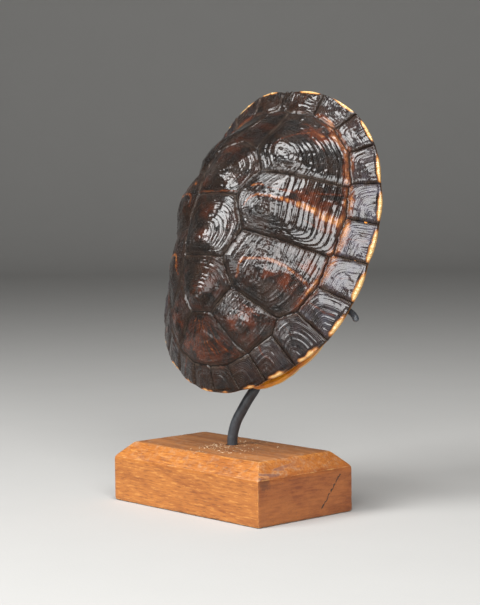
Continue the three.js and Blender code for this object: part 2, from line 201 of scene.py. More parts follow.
# Scutes of the belly plate, right side: outline and the middle of the growth rings
BELLY_SCUTES = (
    (("bellyFront", "belly12", "throat"), (6, 82)),
    (("belly12", "belly23", "armpit", "lobeSide", "lobeFront", "throat"), (24, 64)),
    (
        ("belly23", "belly34", "bridgeSeam", "bridgeMid", "bridgeFront", "bridgeFrontLow", "armpit"),
        (42, 30),
    ),
    (
        ("belly34", "belly45", "groin", "bridgeRearLow", "bridgeRear", "bridgeMidRear", "bridgeSeam"),
        (42, -14),
    ),
    (("belly45", "belly56", "analNotch", "thighRear", "thighSide", "thighFront", "groin"), (28, -54)),
    (("belly56", "bellyEnd", "analInner", "analTip", "analRear", "analSide", "analNotch"), (22, -80)),
)

# Amber streaks, right half: points along the middle of each, then half widths and strengths at its ends
AMBER_STREAKS = (
    (((24.3, 50), (25.7, 58), (28.5, 63.2), (31.6, 67.5), (36.1, 71.5)), (0.6, 0.9), (0.35, 0.6)),
    (((24.8, 76.8), (29, 77), (33.2, 75.9)), (0.5, 1.0), (0.3, 0.5)),
    (((33.2, 75.9), (36.5, 72.6), (38.6, 71.3), (42.9, 69.9)), (1.3, 1.6), (0.5, 0.75)),
    (((41.4, 65.9), (47, 61.6), (50.2, 58.6)), (0.7, 0.5), (0.5, 0.3)),
    (((24.7, 7), (24.9, 10.5), (26.4, 13.4), (30.2, 15.4), (36.6, 16)), (0.8, 1.2), (0.5, 0.75)),
    (((36.6, 16), (48.3, 16.3), (58.1, 15.1), (69, 13)), (1.3, 4.0), (0.75, 1.0)),
    (((26, 22), (28.5, 24.2), (31, 23.2)), (1.2, 0.9), (0.8, 0.6)),
    (((34.4, 22.2), (41, 22.7), (50.3, 24.5), (56.6, 27.3), (66, 31.5)), (0.8, 0.9), (0.5, 0.35)),
    (((54, 6.6), (60.4, 6.4), (66, 5)), (0.5, 1.2), (0.3, 0.5)),
    (((25.4, -38), (27.3, -31.3), (30.2, -26.6), (35.3, -23.8), (45.7, -23.6)), (0.8, 1.3), (0.55, 0.85)),
    (((45.7, -23.6), (56.2, -27), (63, -33)), (1.3, 1.5), (0.85, 0.55)),
    (((30.7, -53.6), (34.6, -56.8), (38.5, -58.2)), (0.9, 0.6), (0.5, 0.4)),
    (((-1, 15.4), (6.3, 15.6), (17, 15.8)), (0.7, 0.6), (0.95, 0.7)),
    (((2, -67), (2.5, -74), (4.5, -81), (9, -87)), (0.5, 0.7), (0.62, 0.6)),
    (((4, -66), (8, -73), (13, -79), (19, -83)), (0.4, 0.6), (0.62, 0.55)),
    (((3, -70), (6, -78), (12, -85)), (0.35, 0.45), (0.6, 0.5)),
    (((1, -72), (1.5, -80), (3, -88)), (0.35, 0.5), (0.55, 0.5)),
    (((9, -68), (14, -74), (20, -79)), (0.35, 0.5), (0.45, 0.4)),
)
# The rust band along the seam between the flank and the rim, from beside the neck to beside the tail
FLANK_EDGE = (
    (30, 86.5), (36.4, 84.6), (46.3, 76.2), (53.6, 69.5), (58.8, 64.6), (64.1, 54.4), (66.4, 43.6),
    (70.2, 30.4), (72.1, 16.6), (73, 2.9), (71.6, -5.8), (69, -20), (65.5, -33), (57.5, -50),
)
FLANK_EDGE_WIDTH = 3.4
# Russet patches of the flanks: middle and reach
RUSSET_PATCHES = (
    ((52, -33), 8.5), ((44, -31), 5), ((58, 22), 10), ((66, 10), 7), ((30, -60), 9), ((44, 68), 8),
    ((62, -22), 6), ((36, 72), 7), ((24, -66), 6),
)

# Round rods of the cradle: the stem's route above the block in the block's frame
STEM_RADIUS = 3.5
ARM_RADIUS = 2.1
FIT_GAP = 0.5
HOLE_RADIUS = 4.2
HOLE_DEPTH = 22.0
ROD_FOOT = (-3.2, 4.6)
STEM_PATH = (
    (-2.9, 4.8, 46.2), (-0.3, 5.8, 55.5), (4.1, 7.5, 63.9), (7.7, 9.8, 71.2), (11.3, 12.7, 78.4),
)
# Where the stem and the thinner cross arm lie on the belly plate, and the right arm's way past the rim
STEM_RESTS = ((7, -82), (6, -68), (4, -56), (1, -39))
ARM_RESTS = ((0, -43), (24, -43), (48, -42.5))
ARM_PATH = (
    (56, -41.2, -29.6), (60, -39, -25), (64, -37.2, -20.4), (68.5, -36.6, -17.2), (73, -37, -16.2),
    (77, -38.2, -16.2), (81, -40.4, -16.3), (83.4, -42.7, -16.3), (84, -44.9, -16.4),
)

BLOCK_TOP = 40
BLOCK_BEVEL = 10.0

# The camera that the photograph was taken with, over the block, in metres and degrees
CAMERA_PLACE = (0.942266, -0.832674, 0.236848)
CAMERA_AZIMUTH = 48.187
CAMERA_ELEVATION = 4.591
CAMERA_ROLL = -0.722
FOCAL_PIXELS = 1900
PICTURE_HEIGHT = 605
SENSOR = 36.0


def colour_setting(name, description, red, green, blue):
    """A colour of linear light that the user can change."""
    return bpy.props.FloatVectorProperty(
        name=name, description=description, subtype="COLOR", size=4, default=(red, green, blue, 1)
    )


def length_setting(name, description, default):
    """A length in metres that the user can change."""
    return bpy.props.FloatProperty(name=name, description=description, default=default, unit="LENGTH")


def light_setting(name, description, default):
    """A light's power or strength that the user can change."""
    return bpy.props.FloatProperty(name=name, description=description, default=default)


class ShellSettings(bpy.types.PropertyGroup):
    """Sizes and colours of the horn and bone."""

    point_gap: length_setting("Point gap", "Distance between mesh points on the scutes", 0.00055)
    seam_depth: length_setting("Seam depth", "Depth of the grooves between scutes", 0.0008)
    seam_width: length_setting("Seam width", "Half width of the grooves between scutes", 0.00085)
    ridge_height: length_setting("Ridge height", "Height of the growth ridges", 0.0007)
    horn_black: colour_setting("Horn black", "Darkest horn", 0.006, 0.005, 0.0045)
    horn_brown: colour_setting("Horn brown", "Lighter horn", 0.028, 0.014, 0.008)
    russet: colour_setting("Russet", "Red-brown translucent horn", 0.105, 0.02, 0.004)
    amber: colour_setting("Amber", "Streaks on the flanks", 0.52, 0.2, 0.05)
    cream: colour_setting("Cream", "Patches on the rim", 0.78, 0.5, 0.2)
    seam_grey: colour_setting("Seam grey", "Young horn beside the seams", 0.11, 0.08, 0.06)
    # Sheen grey is a painted reflection on the rim scutes, standing in for the light that their slopes catch
    painted_sheen_grey: colour_setting("Sheen grey", "Bloomed horn of the rim", 0.17, 0.165, 0.215)
    belly_amber: colour_setting("Belly amber", "Horn of the belly plate", 0.62, 0.24, 0.025)
    bone: colour_setting("Bone", "Bare bone inside the shell", 0.52, 0.4, 0.26)


class CradleSettings(bpy.types.PropertyGroup):
    """Sizes and colours of the steel cradle."""

    sides: bpy.props.IntProperty(name="Sides", description="Faces round each rod", default=28, min=8)
    step: length_setting("Step", "Distance between rings along a rod", 0.0011)
    paint: colour_setting("Paint", "Satin black paint", 0.036, 0.041, 0.049)
    bare_steel: colour_setting("Bare steel", "Steel where the paint is rubbed", 0.2, 0.2, 0.21)


class BlockSettings(bpy.types.PropertyGroup):
    """Sizes and colours of the hardwood block and the dust on it."""

    length: length_setting("Length", "Length of the block", BLOCK_HIGH.x - BLOCK_LOW.x)
    depth: length_setting("Depth", "Depth of the block", BLOCK_HIGH.y - BLOCK_LOW.y)
    height: length_setting("Height", "Height of the block", BLOCK_HIGH.z - BLOCK_LOW.z)
    point_gap: length_setting("Point gap", "Distance between mesh points", 0.0015)
    light_wood: colour_setting("Light wood", "Early wood", 0.52, 0.185, 0.032)
    dark_wood: colour_setting("Dark wood", "Late wood", 0.27, 0.072, 0.011)
    end_wood: colour_setting("End wood", "Tint of the sawn ends", 0.36, 0.105, 0.026)
    crumbs: bpy.props.IntProperty(
        name="Crumbs", description="Sawdust crumbs on the block", default=230, min=0
    )


class StageSettings(bpy.types.PropertyGroup):
    """The floor and the lights."""

    floor: colour_setting("Floor", "Pale floor", 0.5, 0.495, 0.48)
    key_power: light_setting("Key", "Power of the large soft light in watts", 22.0)
    side_power: light_setting("Side", "Power of the light at the right in watts", 13.0)
    front_power: light_setting("Front", "Power of the small front light in watts", 4.0)
    top_power: light_setting("Top", "Power of the light overhead in watts", 9.0)
    low_power: light_setting("Low", "Power of the low wide light in watts", 5.0)
    sky: light_setting("Sky", "Strength of the even light all round", 0.08)


def smoothstep(value, low=0.0, high=1.0):
    """The value's way from low to high, as a share that starts and ends softly."""
    t = np.clip((value - low) / (high - low), 0, 1)
    return t * t * (3 - 2 * t)


def soft_noise(points, cell, seed):
    """Smooth random values from -1 to 1 over plan points, about one cell across."""
    lattice = np.random.default_rng(seed).uniform(-1, 1, (61, 61))
    scaled = np.asarray(points) / cell + 1000.0
    base = np.floor(scaled).astype(int)
    t = smoothstep(scaled - base)
    row, column = base[:, 0] % 61, base[:, 1] % 61
    next_row, next_column = (row + 1) % 61, (column + 1) % 61
    near = lattice[row, column] * (1 - t[:, 0]) + lattice[next_row, column] * t[:, 0]
    far = lattice[row, next_column] * (1 - t[:, 0]) + lattice[next_row, next_column] * t[:, 0]
    return near * (1 - t[:, 1]) + far * t[:, 1]


def segment_distance(points, starts, ends):
    """Distance from each point to the nearest segment, and its place along them, one unit a segment."""
    best = np.full(len(points), np.inf)
    place = np.zeros(len(points))
    for index, (a, b) in enumerate(zip(starts, ends)):
        along = b - a
        t = np.clip(((points - a) @ along) / max(along @ along, 1e-12), 0, 1)
        gap = np.linalg.norm(points - a - t[:, None] * along, axis=1)
        nearer = gap < best
        best[nearer] = gap[nearer]
        place[nearer] = index + t[nearer]
    return best, place


def rim_distance(plan, rim):
    """How far plan points lie from a closed rim."""
    return segment_distance(plan, rim, np.roll(rim, -1, axis=0))[0]


def inside_outline(points, outline):
    """Which points lie inside a closed plan outline."""
    crossings = np.zeros(len(points), bool)
    for a, b in zip(outline, np.roll(outline, -1, axis=0)):
        straddles = (a[1] > points[:, 1]) != (b[1] > points[:, 1])
        slope = (b[0] - a[0]) / (b[1] - a[1] + 1e-15)
        crossings ^= straddles & (points[:, 0] < a[0] + slope * (points[:, 1] - a[1]))
    return crossings


def fill_outline(outline, gap, hole=None):
    """Fills a closed plan outline, less a round hole, with triangles; also finds the outline's points."""
    low, high = outline.min(0), outline.max(0)
    row_step = gap * math.sqrt(3) / 2
    rows = []
    for index, y in enumerate(np.arange(low[1], high[1], row_step)):
        xs = np.arange(low[0] + (index % 2) * gap / 2, high[0], gap)
        rows.append(np.stack([xs, np.full(len(xs), y)], -1))
    grid = np.concatenate(rows)
    grid = grid[inside_outline(grid, outline)]
    grid = grid[rim_distance(grid, outline) > gap * 0.5]
    constraints = [list(range(len(outline)))]
    points = [outline]
    if hole is not None:
        centre, ring = hole
        reach = np.linalg.norm(ring[0] - centre)
        grid = grid[np.linalg.norm(grid - centre, axis=1) > reach + gap * 0.5]
        constraints.append([len(outline) + k for k in range(len(ring))])
        points.append(ring)
    points = np.concatenate([*points, grid])
    found = geometry.delaunay_2d_cdt([Vector(p) for p in points], [], constraints, 1, 1e-7)
    flat = np.array([tuple(v) for v in found[0]])
    faces = np.array([f for f in found[2] if len(f) == 3])
    if hole is not None:
        centres = flat[faces].mean(1)
        faces = faces[np.linalg.norm(centres - centre, axis=1) > reach * 0.99]
    a, b, c = flat[faces[:, 0]], flat[faces[:, 1]], flat[faces[:, 2]]
    area = (b[:, 0] - a[:, 0]) * (c[:, 1] - a[:, 1]) - (b[:, 1] - a[:, 1]) * (c[:, 0] - a[:, 0])
    faces[area < 0] = faces[area < 0][:, ::-1]
    place_of = {given: found_at for found_at, givens in enumerate(found[3]) for given in givens}
    edge = np.array([place_of[k] for k in range(len(outline))])
    return flat, faces[np.abs(area) > 1e-9], edge


class BentPlate:
    """A thin elastic plate bent through points of the right half and their mirror images."""

    softness = 60.0

    def __init__(self, right_points):
        points = []
        for x, y, z in right_points:
            points.append((x, y, z))
            if x > 0:
                points.append((-x, y, z))
        self.points = np.array(points, float)
        count = len(points)
        system = np.zeros((count + 3, count + 3))
        system[:count, :count] = self.bend(self.points[:, :2]) + self.softness * np.eye(count)
        system[:count, count] = system[count, :count] = 1
        system[:count, count + 1:] = self.points[:, :2]
        system[count + 1:, :count] = self.points[:, :2].T
        self.weights = np.linalg.solve(system, np.concatenate([self.points[:, 2], np.zeros(3)]))

    def bend(self, plan):
        square = ((plan[:, None] - self.points[None, :, :2]) ** 2).sum(-1)
        return np.where(square > 0, square * np.log(np.maximum(square, 1e-12)), 0)

    def height(self, plan):
        return np.concatenate([
            self.bend(part) @ self.weights[:-3] + self.weights[-3] + part @ self.weights[-2:]
            for part in np.array_split(plan, max(1, len(plan) // 4000))
        ])

    def surface(self, plan):
        """Points on the plate and its unit normals out of the plate."""
        nudge = 0.05
        height = self.height(plan)
        slope_x = (self.height(plan + (nudge, 0)) - self.height(plan - (nudge, 0))) / (2 * nudge)
        slope_y = (self.height(plan + (0, nudge)) - self.height(plan - (0, nudge))) / (2 * nudge)
        normal = np.stack([-slope_x, -slope_y, np.ones(len(plan))], -1)
        normal /= np.linalg.norm(normal, axis=1)[:, None]
        return np.column_stack([plan, height]), normal


class CornerTable:
    """Named corners of the right half of a plate and its rim; -name is the corner's left-hand twin."""

    wobble = 0.3

    def __init__(self, corners, rim, bulge):
        self.corners = corners
        self.rim = rim
        self.bulge = bulge

    def side(self, first, last, gap):
        """Points from one corner to the next, the same line whichever way it is walked."""
        left = first.startswith("-") or last.startswith("-")
        names = [first.lstrip("-"), last.lstrip("-")]
        if names[0] == names[1]:
            start, end = self.corner(first), self.corner(last)
            count = max(2, round(np.linalg.norm(end - start) / gap) + 1)
            return start + np.linspace(0, 1, count)[:, None] * (end - start)
        forward = names[0] < names[1]
        start, end = (np.array(self.corners[n][:2], float) for n in sorted(names))
        length = np.linalg.norm(end - start)
        t = np.linspace(0, 1, max(2, round(length / gap) + 1))
        line = start + t[:, None] * (end - start)
        if names[0] in self.rim and names[1] in self.rim:
            middle = (start + end) / 2
            line += np.sin(math.pi * t)[:, None] * middle * self.bulge / np.linalg.norm(middle)
        elif start[0] > 0 or end[0] > 0:
            seed = sum(map(ord, names[0] + names[1]))
            across = np.array([start[1] - end[1], end[0] - start[0]]) / length
            wave = np.sin(5 * math.pi * t + seed) * 0.5 + np.sin(9 * math.pi * t + seed * 2.3) * 0.4
            swell = np.sqrt(np.maximum(np.sin(math.pi * t), 0))
            line += (swell * wave * self.wobble)[:, None] * across
        if left:
            line[:, 0] *= -1
        return line if forward else line[::-1]

    def sides(self, names, gap):
        return [self.side(name, names[(i + 1) % len(names)], gap) for i, name in enumerate(names)]

    def corner(self, name):
        x, y = self.corners[name.lstrip("-")][:2]
        return np.array([-x if name.startswith("-") else x, y], float)

    def whole_rim(self, gap):
        """The whole rim, clockwise from above, from the middle of the front."""
        right = np.concatenate([
            self.side(a, b, gap)[:-1] for a, b in zip(self.rim, self.rim[1:])
        ])
        tail = self.corner(self.rim[-1])[None]
        left = right[1:][::-1] * (-1, 1)
        return np.concatenate([right, tail, left])


BACK = BentPlate([*BACK_CORNERS.values(), *DOME_CROWNS])
BELLY = BentPlate([*BELLY_CORNERS.values(), *BELLY_FLATS])
BACK_TABLE = CornerTable(BACK_CORNERS, BACK_RIM, 1.3)
BELLY_TABLE = CornerTable(BELLY_CORNERS, BELLY_RIM, 0.8)

# The flanks are steep, so plan points there are spread apart before they are filled with triangles
FLAT_REACH = 30.0
FLANK_STRETCH = 0.45


def spread(plan):
    """Plan points with the flanks drawn out sideways."""
    beyond = np.maximum(np.abs(plan[:, 0]) - FLAT_REACH, 0)
    return np.column_stack([plan[:, 0] + np.sign(plan[:, 0]) * beyond * FLANK_STRETCH, plan[:, 1]])


def gather(spread_plan):
    """The way back from drawn-out plan points."""
    beyond = np.maximum(np.abs(spread_plan[:, 0]) - FLAT_REACH, 0)
    shift = beyond * FLANK_STRETCH / (1 + FLANK_STRETCH)
    return np.column_stack([spread_plan[:, 0] - np.sign(spread_plan[:, 0]) * shift, spread_plan[:, 1]])


def shell_to_row(points):
    """From the shell's own frame in millimetres to the row's frame in metres."""
    turn = Matrix.Rotation(math.radians(SHELL_TURN), 3, "Z")
    turn = turn @ Matrix.Rotation(math.radians(SHELL_LEAN), 3, "X")
    return (np.asarray(points) @ np.array(turn).T + SHELL_PLACE) * MM


def spine_beside(plan):
    """The point of the spine that lies beside each plan point."""
    return np.column_stack([np.zeros(len(plan)), np.clip(plan[:, 1] * 0.75, -62, 62)])


def inset(plan, width):
    """Rim points moved towards the spine by a distance."""
    spine = spine_beside(plan)
    way = spine - plan
    return plan + way * (width / np.linalg.norm(way, axis=1))[:, None]


class MeshParts:
    """Gathers points, faces and named values of one piece."""

    def __init__(self, *names):
        self.points = []
        self.faces = []
        self.values = {name: [] for name in names}
        self.count = 0

    def add(self, points, faces, **values):
        self.points.append(points)
        self.faces.extend([int(k) + self.count for k in face] for face in faces)
        for name, found in self.values.items():
            value = values.get(name, 0.0)
            found.append(np.broadcast_to(np.asarray(value, float), (len(points),)))
        self.count += len(points)

    def piece(self, name, material, node, slot):
        mesh = bpy.data.meshes.new(name)
        mesh.from_pydata(np.concatenate(self.points).tolist(), [], self.faces)
        mesh.validate()
        mesh.shade_smooth()
        for key, found in self.values.items():
            attribute = mesh.attributes.new(key, "FLOAT", "POINT")
            attribute.data.foreach_set("value", np.concatenate(found).astype(np.float32))
        mesh.materials.append(material)
        piece = bpy.data.objects.new(name, mesh)
        bpy.context.scene.collection.objects.link(piece)
        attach(piece, "root")
        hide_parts(node)
        return piece


def ring_band(first, count, rings, closed=True):
    """Quads that join rings of count points each, the first point having index first."""
    faces = []
    span = count if closed else count - 1
    for ring in range(rings - 1):
        base = first + ring * count
        for k in range(span):
            after = (k + 1) % count
            faces.append((base + k, base + after, base + count + after, base + count + k))
    return faces


def growth_share(plan, corners, core, quiet=()):
    """How far out a point lies between the core, 0, and the outline, 1, taking only the sides that grow."""
    total = np.zeros(len(plan))
    sharpness = 6
    for index, start in enumerate(corners):
        end = corners[(index + 1) % len(corners)]
        if index in quiet:
            continue
        out = np.array([end[1] - start[1], start[0] - end[0]])
        reach = out @ (start - core)
        if abs(reach) < 1e-9:
            continue
        total += np.maximum((plan - core) @ out / reach, 0) ** sharpness
    return total ** (1 / sharpness)


def streak_mask(plan):
    """Amber streaks of the flanks, from 0 to 1."""
    mask = np.zeros(len(plan))
    mirrored = np.column_stack([np.abs(plan[:, 0]), plan[:, 1]])
    shifted = mirrored + np.column_stack([soft_noise(plan, 7, 5), soft_noise(plan, 7, 6)]) * 0.8
    shifted += np.column_stack([soft_noise(plan, 2.2, 7), soft_noise(plan, 2.2, 8)]) * 0.45
    for points, widths, strengths in AMBER_STREAKS:
        line = np.array(points)
        gap, place = segment_distance(shifted, line[:-1], line[1:])
        share = place / (len(line) - 1)
        width = np.interp(share, (0, 1), widths)
        mask = np.maximum(mask, (1 - smoothstep(gap / width, 0.1, 1.7)) * np.interp(share, (0, 1), strengths))
    edge = np.array(FLANK_EDGE, float)
    gap, place = segment_distance(shifted, edge[:-1], edge[1:])
    fading = np.interp(place, (0, 2, 10, 12, 13), (0.5, 1.1, 1.1, 0.9, 0.5))
    patchy = 0.85 + 0.3 * soft_noise(plan, 7, 12)
    band = (1 - smoothstep(gap / FLANK_EDGE_WIDTH, 0.2, 1.15)) * fading * patchy
    return np.maximum(mask, np.clip(band, 0, 1))


def russet_mask(plan):
    """Russet patches of the flanks, from 0 to 1."""
    mask = np.zeros(len(plan))
    mirrored = np.column_stack([np.abs(plan[:, 0]), plan[:, 1]])
    for centre, reach in RUSSET_PATCHES:
        gap = np.linalg.norm(mirrored - centre, axis=1) + soft_noise(plan, 5, 9) * 2.5
        mask = np.maximum(mask, 1 - smoothstep(gap / reach, 0.3, 1.0))
    return mask


def ridge_wave(growth, plan, seed):
    """Growth ridges as heights from 0 to 1: narrow crests whose strength wanders."""
    drift = 0.34 * soft_noise(plan, 16, seed) + 0.13 * soft_noise(plan, 4.5, seed + 1)
    phase = growth + drift
    ring = np.floor(phase)
    share = phase - ring
    crest = share ** 1.6 * (1 - smoothstep(share, 0.72, 1.0)) * 1.6
    bold = 0.55 + 0.45 * np.sin(ring * 2.4 + seed)
    patchy = 0.75 + 0.4 * soft_noise(plan, 9, seed + 2)
    return crest * bold * patchy


def horn_relief(plan, corners, form, seams, settings, seed):
    """Height of one scute over the plate in millimetres, with the values that its shading needs."""
    whole = growth_share(plan, corners, form["core"])
    grown = growth_share(plan, corners, form["core"], form["quiet"])
    starts = np.concatenate([side[:-1] for side in seams])
    ends = np.concatenate([side[1:] for side in seams])
    seam, place = segment_distance(spread(plan), spread(starts), spread(ends))
    beside_seam = smoothstep(seam / (settings.seam_width / MM))
    old_part = 1 - smoothstep(grown, 0.14, 0.3)
    growth = grown * form["rings"]
    ridges = ridge_wave(growth, plan, seed) + 0.4 * ridge_wave(growth * 2.3, plan, seed + 30)
    ridges = ridges * (1 - old_part * 0.55) * smoothstep(seam, 0.3, 1.6)
    rough = 0.12 * soft_noise(plan, 2.2, seed + 3) + 0.16 * soft_noise(plan, 6, seed + 4)
    pits = 0.22 * old_part * soft_noise(plan, 1.6, seed + 5)
    relief = np.interp(np.minimum(whole, 1), form["shares"], form["rises"]) * form["knob"]
    relief += 0.22 * smoothstep(seam / 4) - 0.3 - settings.seam_depth / MM * (1 - beside_seam) * 0.75
    relief += settings.ridge_height / MM * ridges + (rough + pits) * beside_seam
    return relief, {"growth": growth, "seam": seam, "run": place * settings.point_gap / MM, "ridge": ridges}


VALUES = ("growth", "seam", "run", "ridge", "amber", "cream", "russet", "sheen", "under")
KEEL_FORM = {"shares": (0, 0.25, 0.6, 1), "rises": (1, 0.7, 0.15, 0), "quiet": ()}
FLANK_FORM = {"shares": (0, 0.26, 0.5, 0.74, 1), "rises": (1, 0.95, 0.45, 0.3, 0)}
RIM_FORM = {"shares": (0, 0.55, 1), "rises": (1, 0.85, 0), "knob": 0.9, "quiet": (0, 1)}


def add_scute(parts, names, form, settings, seed, marks, rim_side=None):
    """One scute of the back as its own plate of triangles."""
    gap = settings.point_gap / MM
    sides = BACK_TABLE.sides(names, gap)
    corners = [BACK_TABLE.corner(name) for name in names]
    flat, faces, _ = fill_outline(spread(np.concatenate([side[:-1] for side in sides])), gap)
    plan = gather(flat)
    seams = [side for index, side in enumerate(sides) if index != rim_side]
    relief, values = horn_relief(plan, corners, form, seams, settings, seed)
    points, normals = BACK.surface(plan)
    parts.add(shell_to_row(points + normals * relief[:, None]), faces, **values, **marks(plan))


def on_hand(names, corners, hand):
    """The names of an outline of the right half, or of its left-hand twin."""
    return tuple(name if hand > 0 or corners[name][0] == 0 else "-" + name for name in names)


def keel_scutes(settings):
    """The scutes along the middle of the back."""
    parts = MeshParts(*VALUES)
    for index, (right, core, knob, rings, russet_share) in enumerate(KEEL_SCUTES):
        left = tuple("-" + name for name in reversed(right) if BACK_CORNERS[name][0] > 0)
        form = {**KEEL_FORM, "core": np.array(core, float), "knob": knob, "rings": rings}

        def marks(plan, share=russet_share, seed=60 + index):
            russet = np.clip(share + soft_noise(plan, 8, seed) * 0.35, 0, 1) * (share > 0)
            return {"russet": russet, "amber": streak_mask(plan)}

        add_scute(parts, right + left, form, settings, 100 + index * 7, marks)
    return parts


def flank_scutes(settings):
    """The large scutes between the keel and the rim, on both sides."""
    parts = MeshParts(*VALUES)
    for index, (outline, core, knob, rings, quiet, russet_share) in enumerate(FLANK_SCUTES):
        def marks(plan, share=russet_share):
            russet = russet_mask(plan) * 0.9 + share * (0.5 + 0.5 * soft_noise(plan, 6, 70))
            return {"amber": streak_mask(plan), "russet": np.clip(russet, 0, 1)}

        for hand in (1, -1):
            form = {
                **FLANK_FORM, "core": np.array(core, float) * (hand, 1), "knob": knob, "rings": rings,
                "quiet": (outline.index(quiet),),
            }
            names = on_hand(outline, BACK_CORNERS, hand)
            add_scute(parts, names, form, settings, 200 + index * 11 + (hand < 0) * 5, marks)
    return parts


def rim_place(plan, sides):
    """Where a point of a rim scute lies: from its front seam to its rear one, and from the rim inwards."""
    def reach(side):
        return segment_distance(plan, side[:-1], side[1:])[0]

    to_rim, to_rear, to_front = reach(sides[0]), reach(sides[1]), reach(sides[-1])
    to_inner = reach(np.concatenate(sides[2:-1]))
    return to_front / (to_front + to_rear + 1e-6), to_rim / (to_rim + to_inner + 1e-6)


def cream_reach(along, spread_share):
    """How far the cream reaches in at each place along a rim scute: a thin strip that swells to the rear."""
    wedge = np.exp(-((along - 0.58) / 0.13) ** 2) * 0.7
    strip = smoothstep(along, 0.05, 0.6) * (1 - smoothstep(along, 0.8, 1.0))
    return spread_share * (strip * 0.8 + wedge)


def rim_marks(plan, index, sides, colour, seed):
    """Cream, amber, russet and painted sheen of one rim scute; the sheen is a painted reflection."""
    along, inwards = rim_place(plan, sides)
    inwards = inwards + soft_noise(plan, 3.0, seed) * 0.035
    along = along + soft_noise(plan, 4.0, seed + 1) * 0.05
    reach = cream_reach(along, RIM_CREAM[index] * colour[0])
    cream = (1 - smoothstep(inwards - reach, -0.04, 0.09)) * smoothstep(reach, 0, 0.02)
    line = np.exp(-((along - 0.5 - 0.12 * (inwards - 0.3)) / 0.035) ** 2) * smoothstep(inwards, 0.1, 0.3)
    line *= 0.4 * colour[1] * (0.5 + soft_noise(plan, 6, seed + 3))
    inner_edge = np.exp(-((inwards - 1) / 0.12) ** 2) * (0.35 + 0.5 * soft_noise(plan, 5, seed + 2))
    amber = np.maximum(np.clip(line + inner_edge * 0.6, 0, 1), streak_mask(plan))
    # Painted sheen: grey laid on as a painted reflection, strongest on the middle rim scutes
    sheen = RIM_PAINTED_SHEEN[index] * (0.75 + 0.25 * soft_noise(plan, 6, seed + 4))
    return {"cream": cream, "amber": amber, "sheen": sheen, "russet": 0.1}


# The rim's section from its upper edge: how far inwards and how far below the back each row lies
FOLD_WIDTHS = (0.0, -0.15, -0.1, 0.2, 0.9, 2.2, 4.2, 6.4, 8.6, 10.6, 12.4, 12.9)
FOLD_DROPS = (0.0, 0.6, 1.4, 2.2, 2.9, 3.6, 4.6, 5.6, 6.6, 7.4, 7.9, 6.6)


def rim_scutes(settings):
    """The scutes of the rim and its folded edge, on both sides."""
    parts = MeshParts(*VALUES)
    for index, outline in enumerate(RIM_SCUTES):
        for hand in (1, -1):
            names = on_hand(outline, BACK_CORNERS, hand)
            front, middle, rear = (BACK_TABLE.corner(name) for name in names[:3])
            core = middle * 0.7 + (front + rear) / 2 * 0.3
            form = {**RIM_FORM, "core": core, "rings": RIM_RINGS[index]}
            seed = 300 + index * 13 + (hand < 0) * 6
            sides = BACK_TABLE.sides(names, settings.point_gap / MM)
            colour = np.random.default_rng(seed).uniform(0.6, 1.15, 2)

            def marks(plan, index=index, sides=sides, colour=colour, seed=seed):
                return rim_marks(plan, index, sides, colour, seed)

            add_scute(parts, names, form, settings, seed, marks, rim_side=0)
            add_fold(parts, names, sides, form, settings, seed, marks)
    return parts


def add_fold(parts, names, sides, form, settings, seed, marks):
    """The rim's rounded edge and the horn of its underside, below one rim scute."""
    rim = sides[0]
    corners = [BACK_TABLE.corner(name) for name in names]
    relief, values = horn_relief(rim, corners, form, sides[1:], settings, seed)
    surface, normals = BACK.surface(rim)
    along = np.linspace(0, 1, len(rim))
    from_seam = np.minimum(along, 1 - along) * np.linalg.norm(np.diff(rim, axis=0), axis=1).sum()
    rows = [surface + normals * relief[:, None]]
    for width, drop in zip(FOLD_WIDTHS[1:], FOLD_DROPS[1:]):
        plan = inset(rim, width)
        if width < 1:
            height = surface[:, 2] - drop + relief * (1 - drop / 3)
        else:
            height = BACK.height(plan) - drop
            height += 0.35 * (1 - smoothstep(from_seam, 0, 1.2)) + 0.12 * soft_noise(plan, 3, seed + 8)
        rows.append(np.column_stack([plan, height]))
    points = np.concatenate(rows)
    edge_marks = marks(np.concatenate([inset(rim, 0.2)] * len(rows)))
    under = smoothstep(np.repeat(np.arange(len(rows)), len(rim)), 1, 4)
    faces = np.array(ring_band(0, len(rim), len(rows), closed=False))
    first = points[faces[0]]
    if np.cross(first[1] - first[0], first[2] - first[0]) @ (first[0] - points.mean(0)) < 0:
        faces = faces[:, ::-1]
    growth = np.concatenate([values["growth"] + width * 0.45 for width in FOLD_WIDTHS])
    parts.add(
        shell_to_row(points), faces, growth=growth,
        seam=np.tile(from_seam, len(rows)), amber=edge_marks["amber"], russet=0.1, under=under,
        cream=edge_marks["cream"] * (1 - under) + 0.25 * under,
    )


# The bone: distance between its points, how far it stays inside the horn, and its thickness from the rim in
BONE_GAP = 2.4
BONE_INSET = 0.9
BONE_UNDER_HORN = 1.7
BONE_REACHES = (0.0, 4.0, 12.0, 13.2, 30.0)
BONE_DROPS = (2.1, 3.4, 6.4, 5.0, 5.0)
# The backbone's half width and depth, the length of a vertebra, and the ribs on each side
SPINE_WIDTH = 4.2
SPINE_DEPTH = 3.2
VERTEBRA_LENGTH = 17.0
RIB_COUNT = 8


def closed_band(outer, inner, plan):
    """Quads that join two loops of points over the same outline, facing out of it."""
    after = np.roll(np.arange(len(outer)), -1)
    nxt = plan[after]
    turns_left = (plan[:, 0] * nxt[:, 1] - nxt[:, 0] * plan[:, 1]).sum() > 0
    quads = np.stack([inner, inner[after], outer[after], outer], -1)
    return quads if turns_left else quads[:, ::-1]


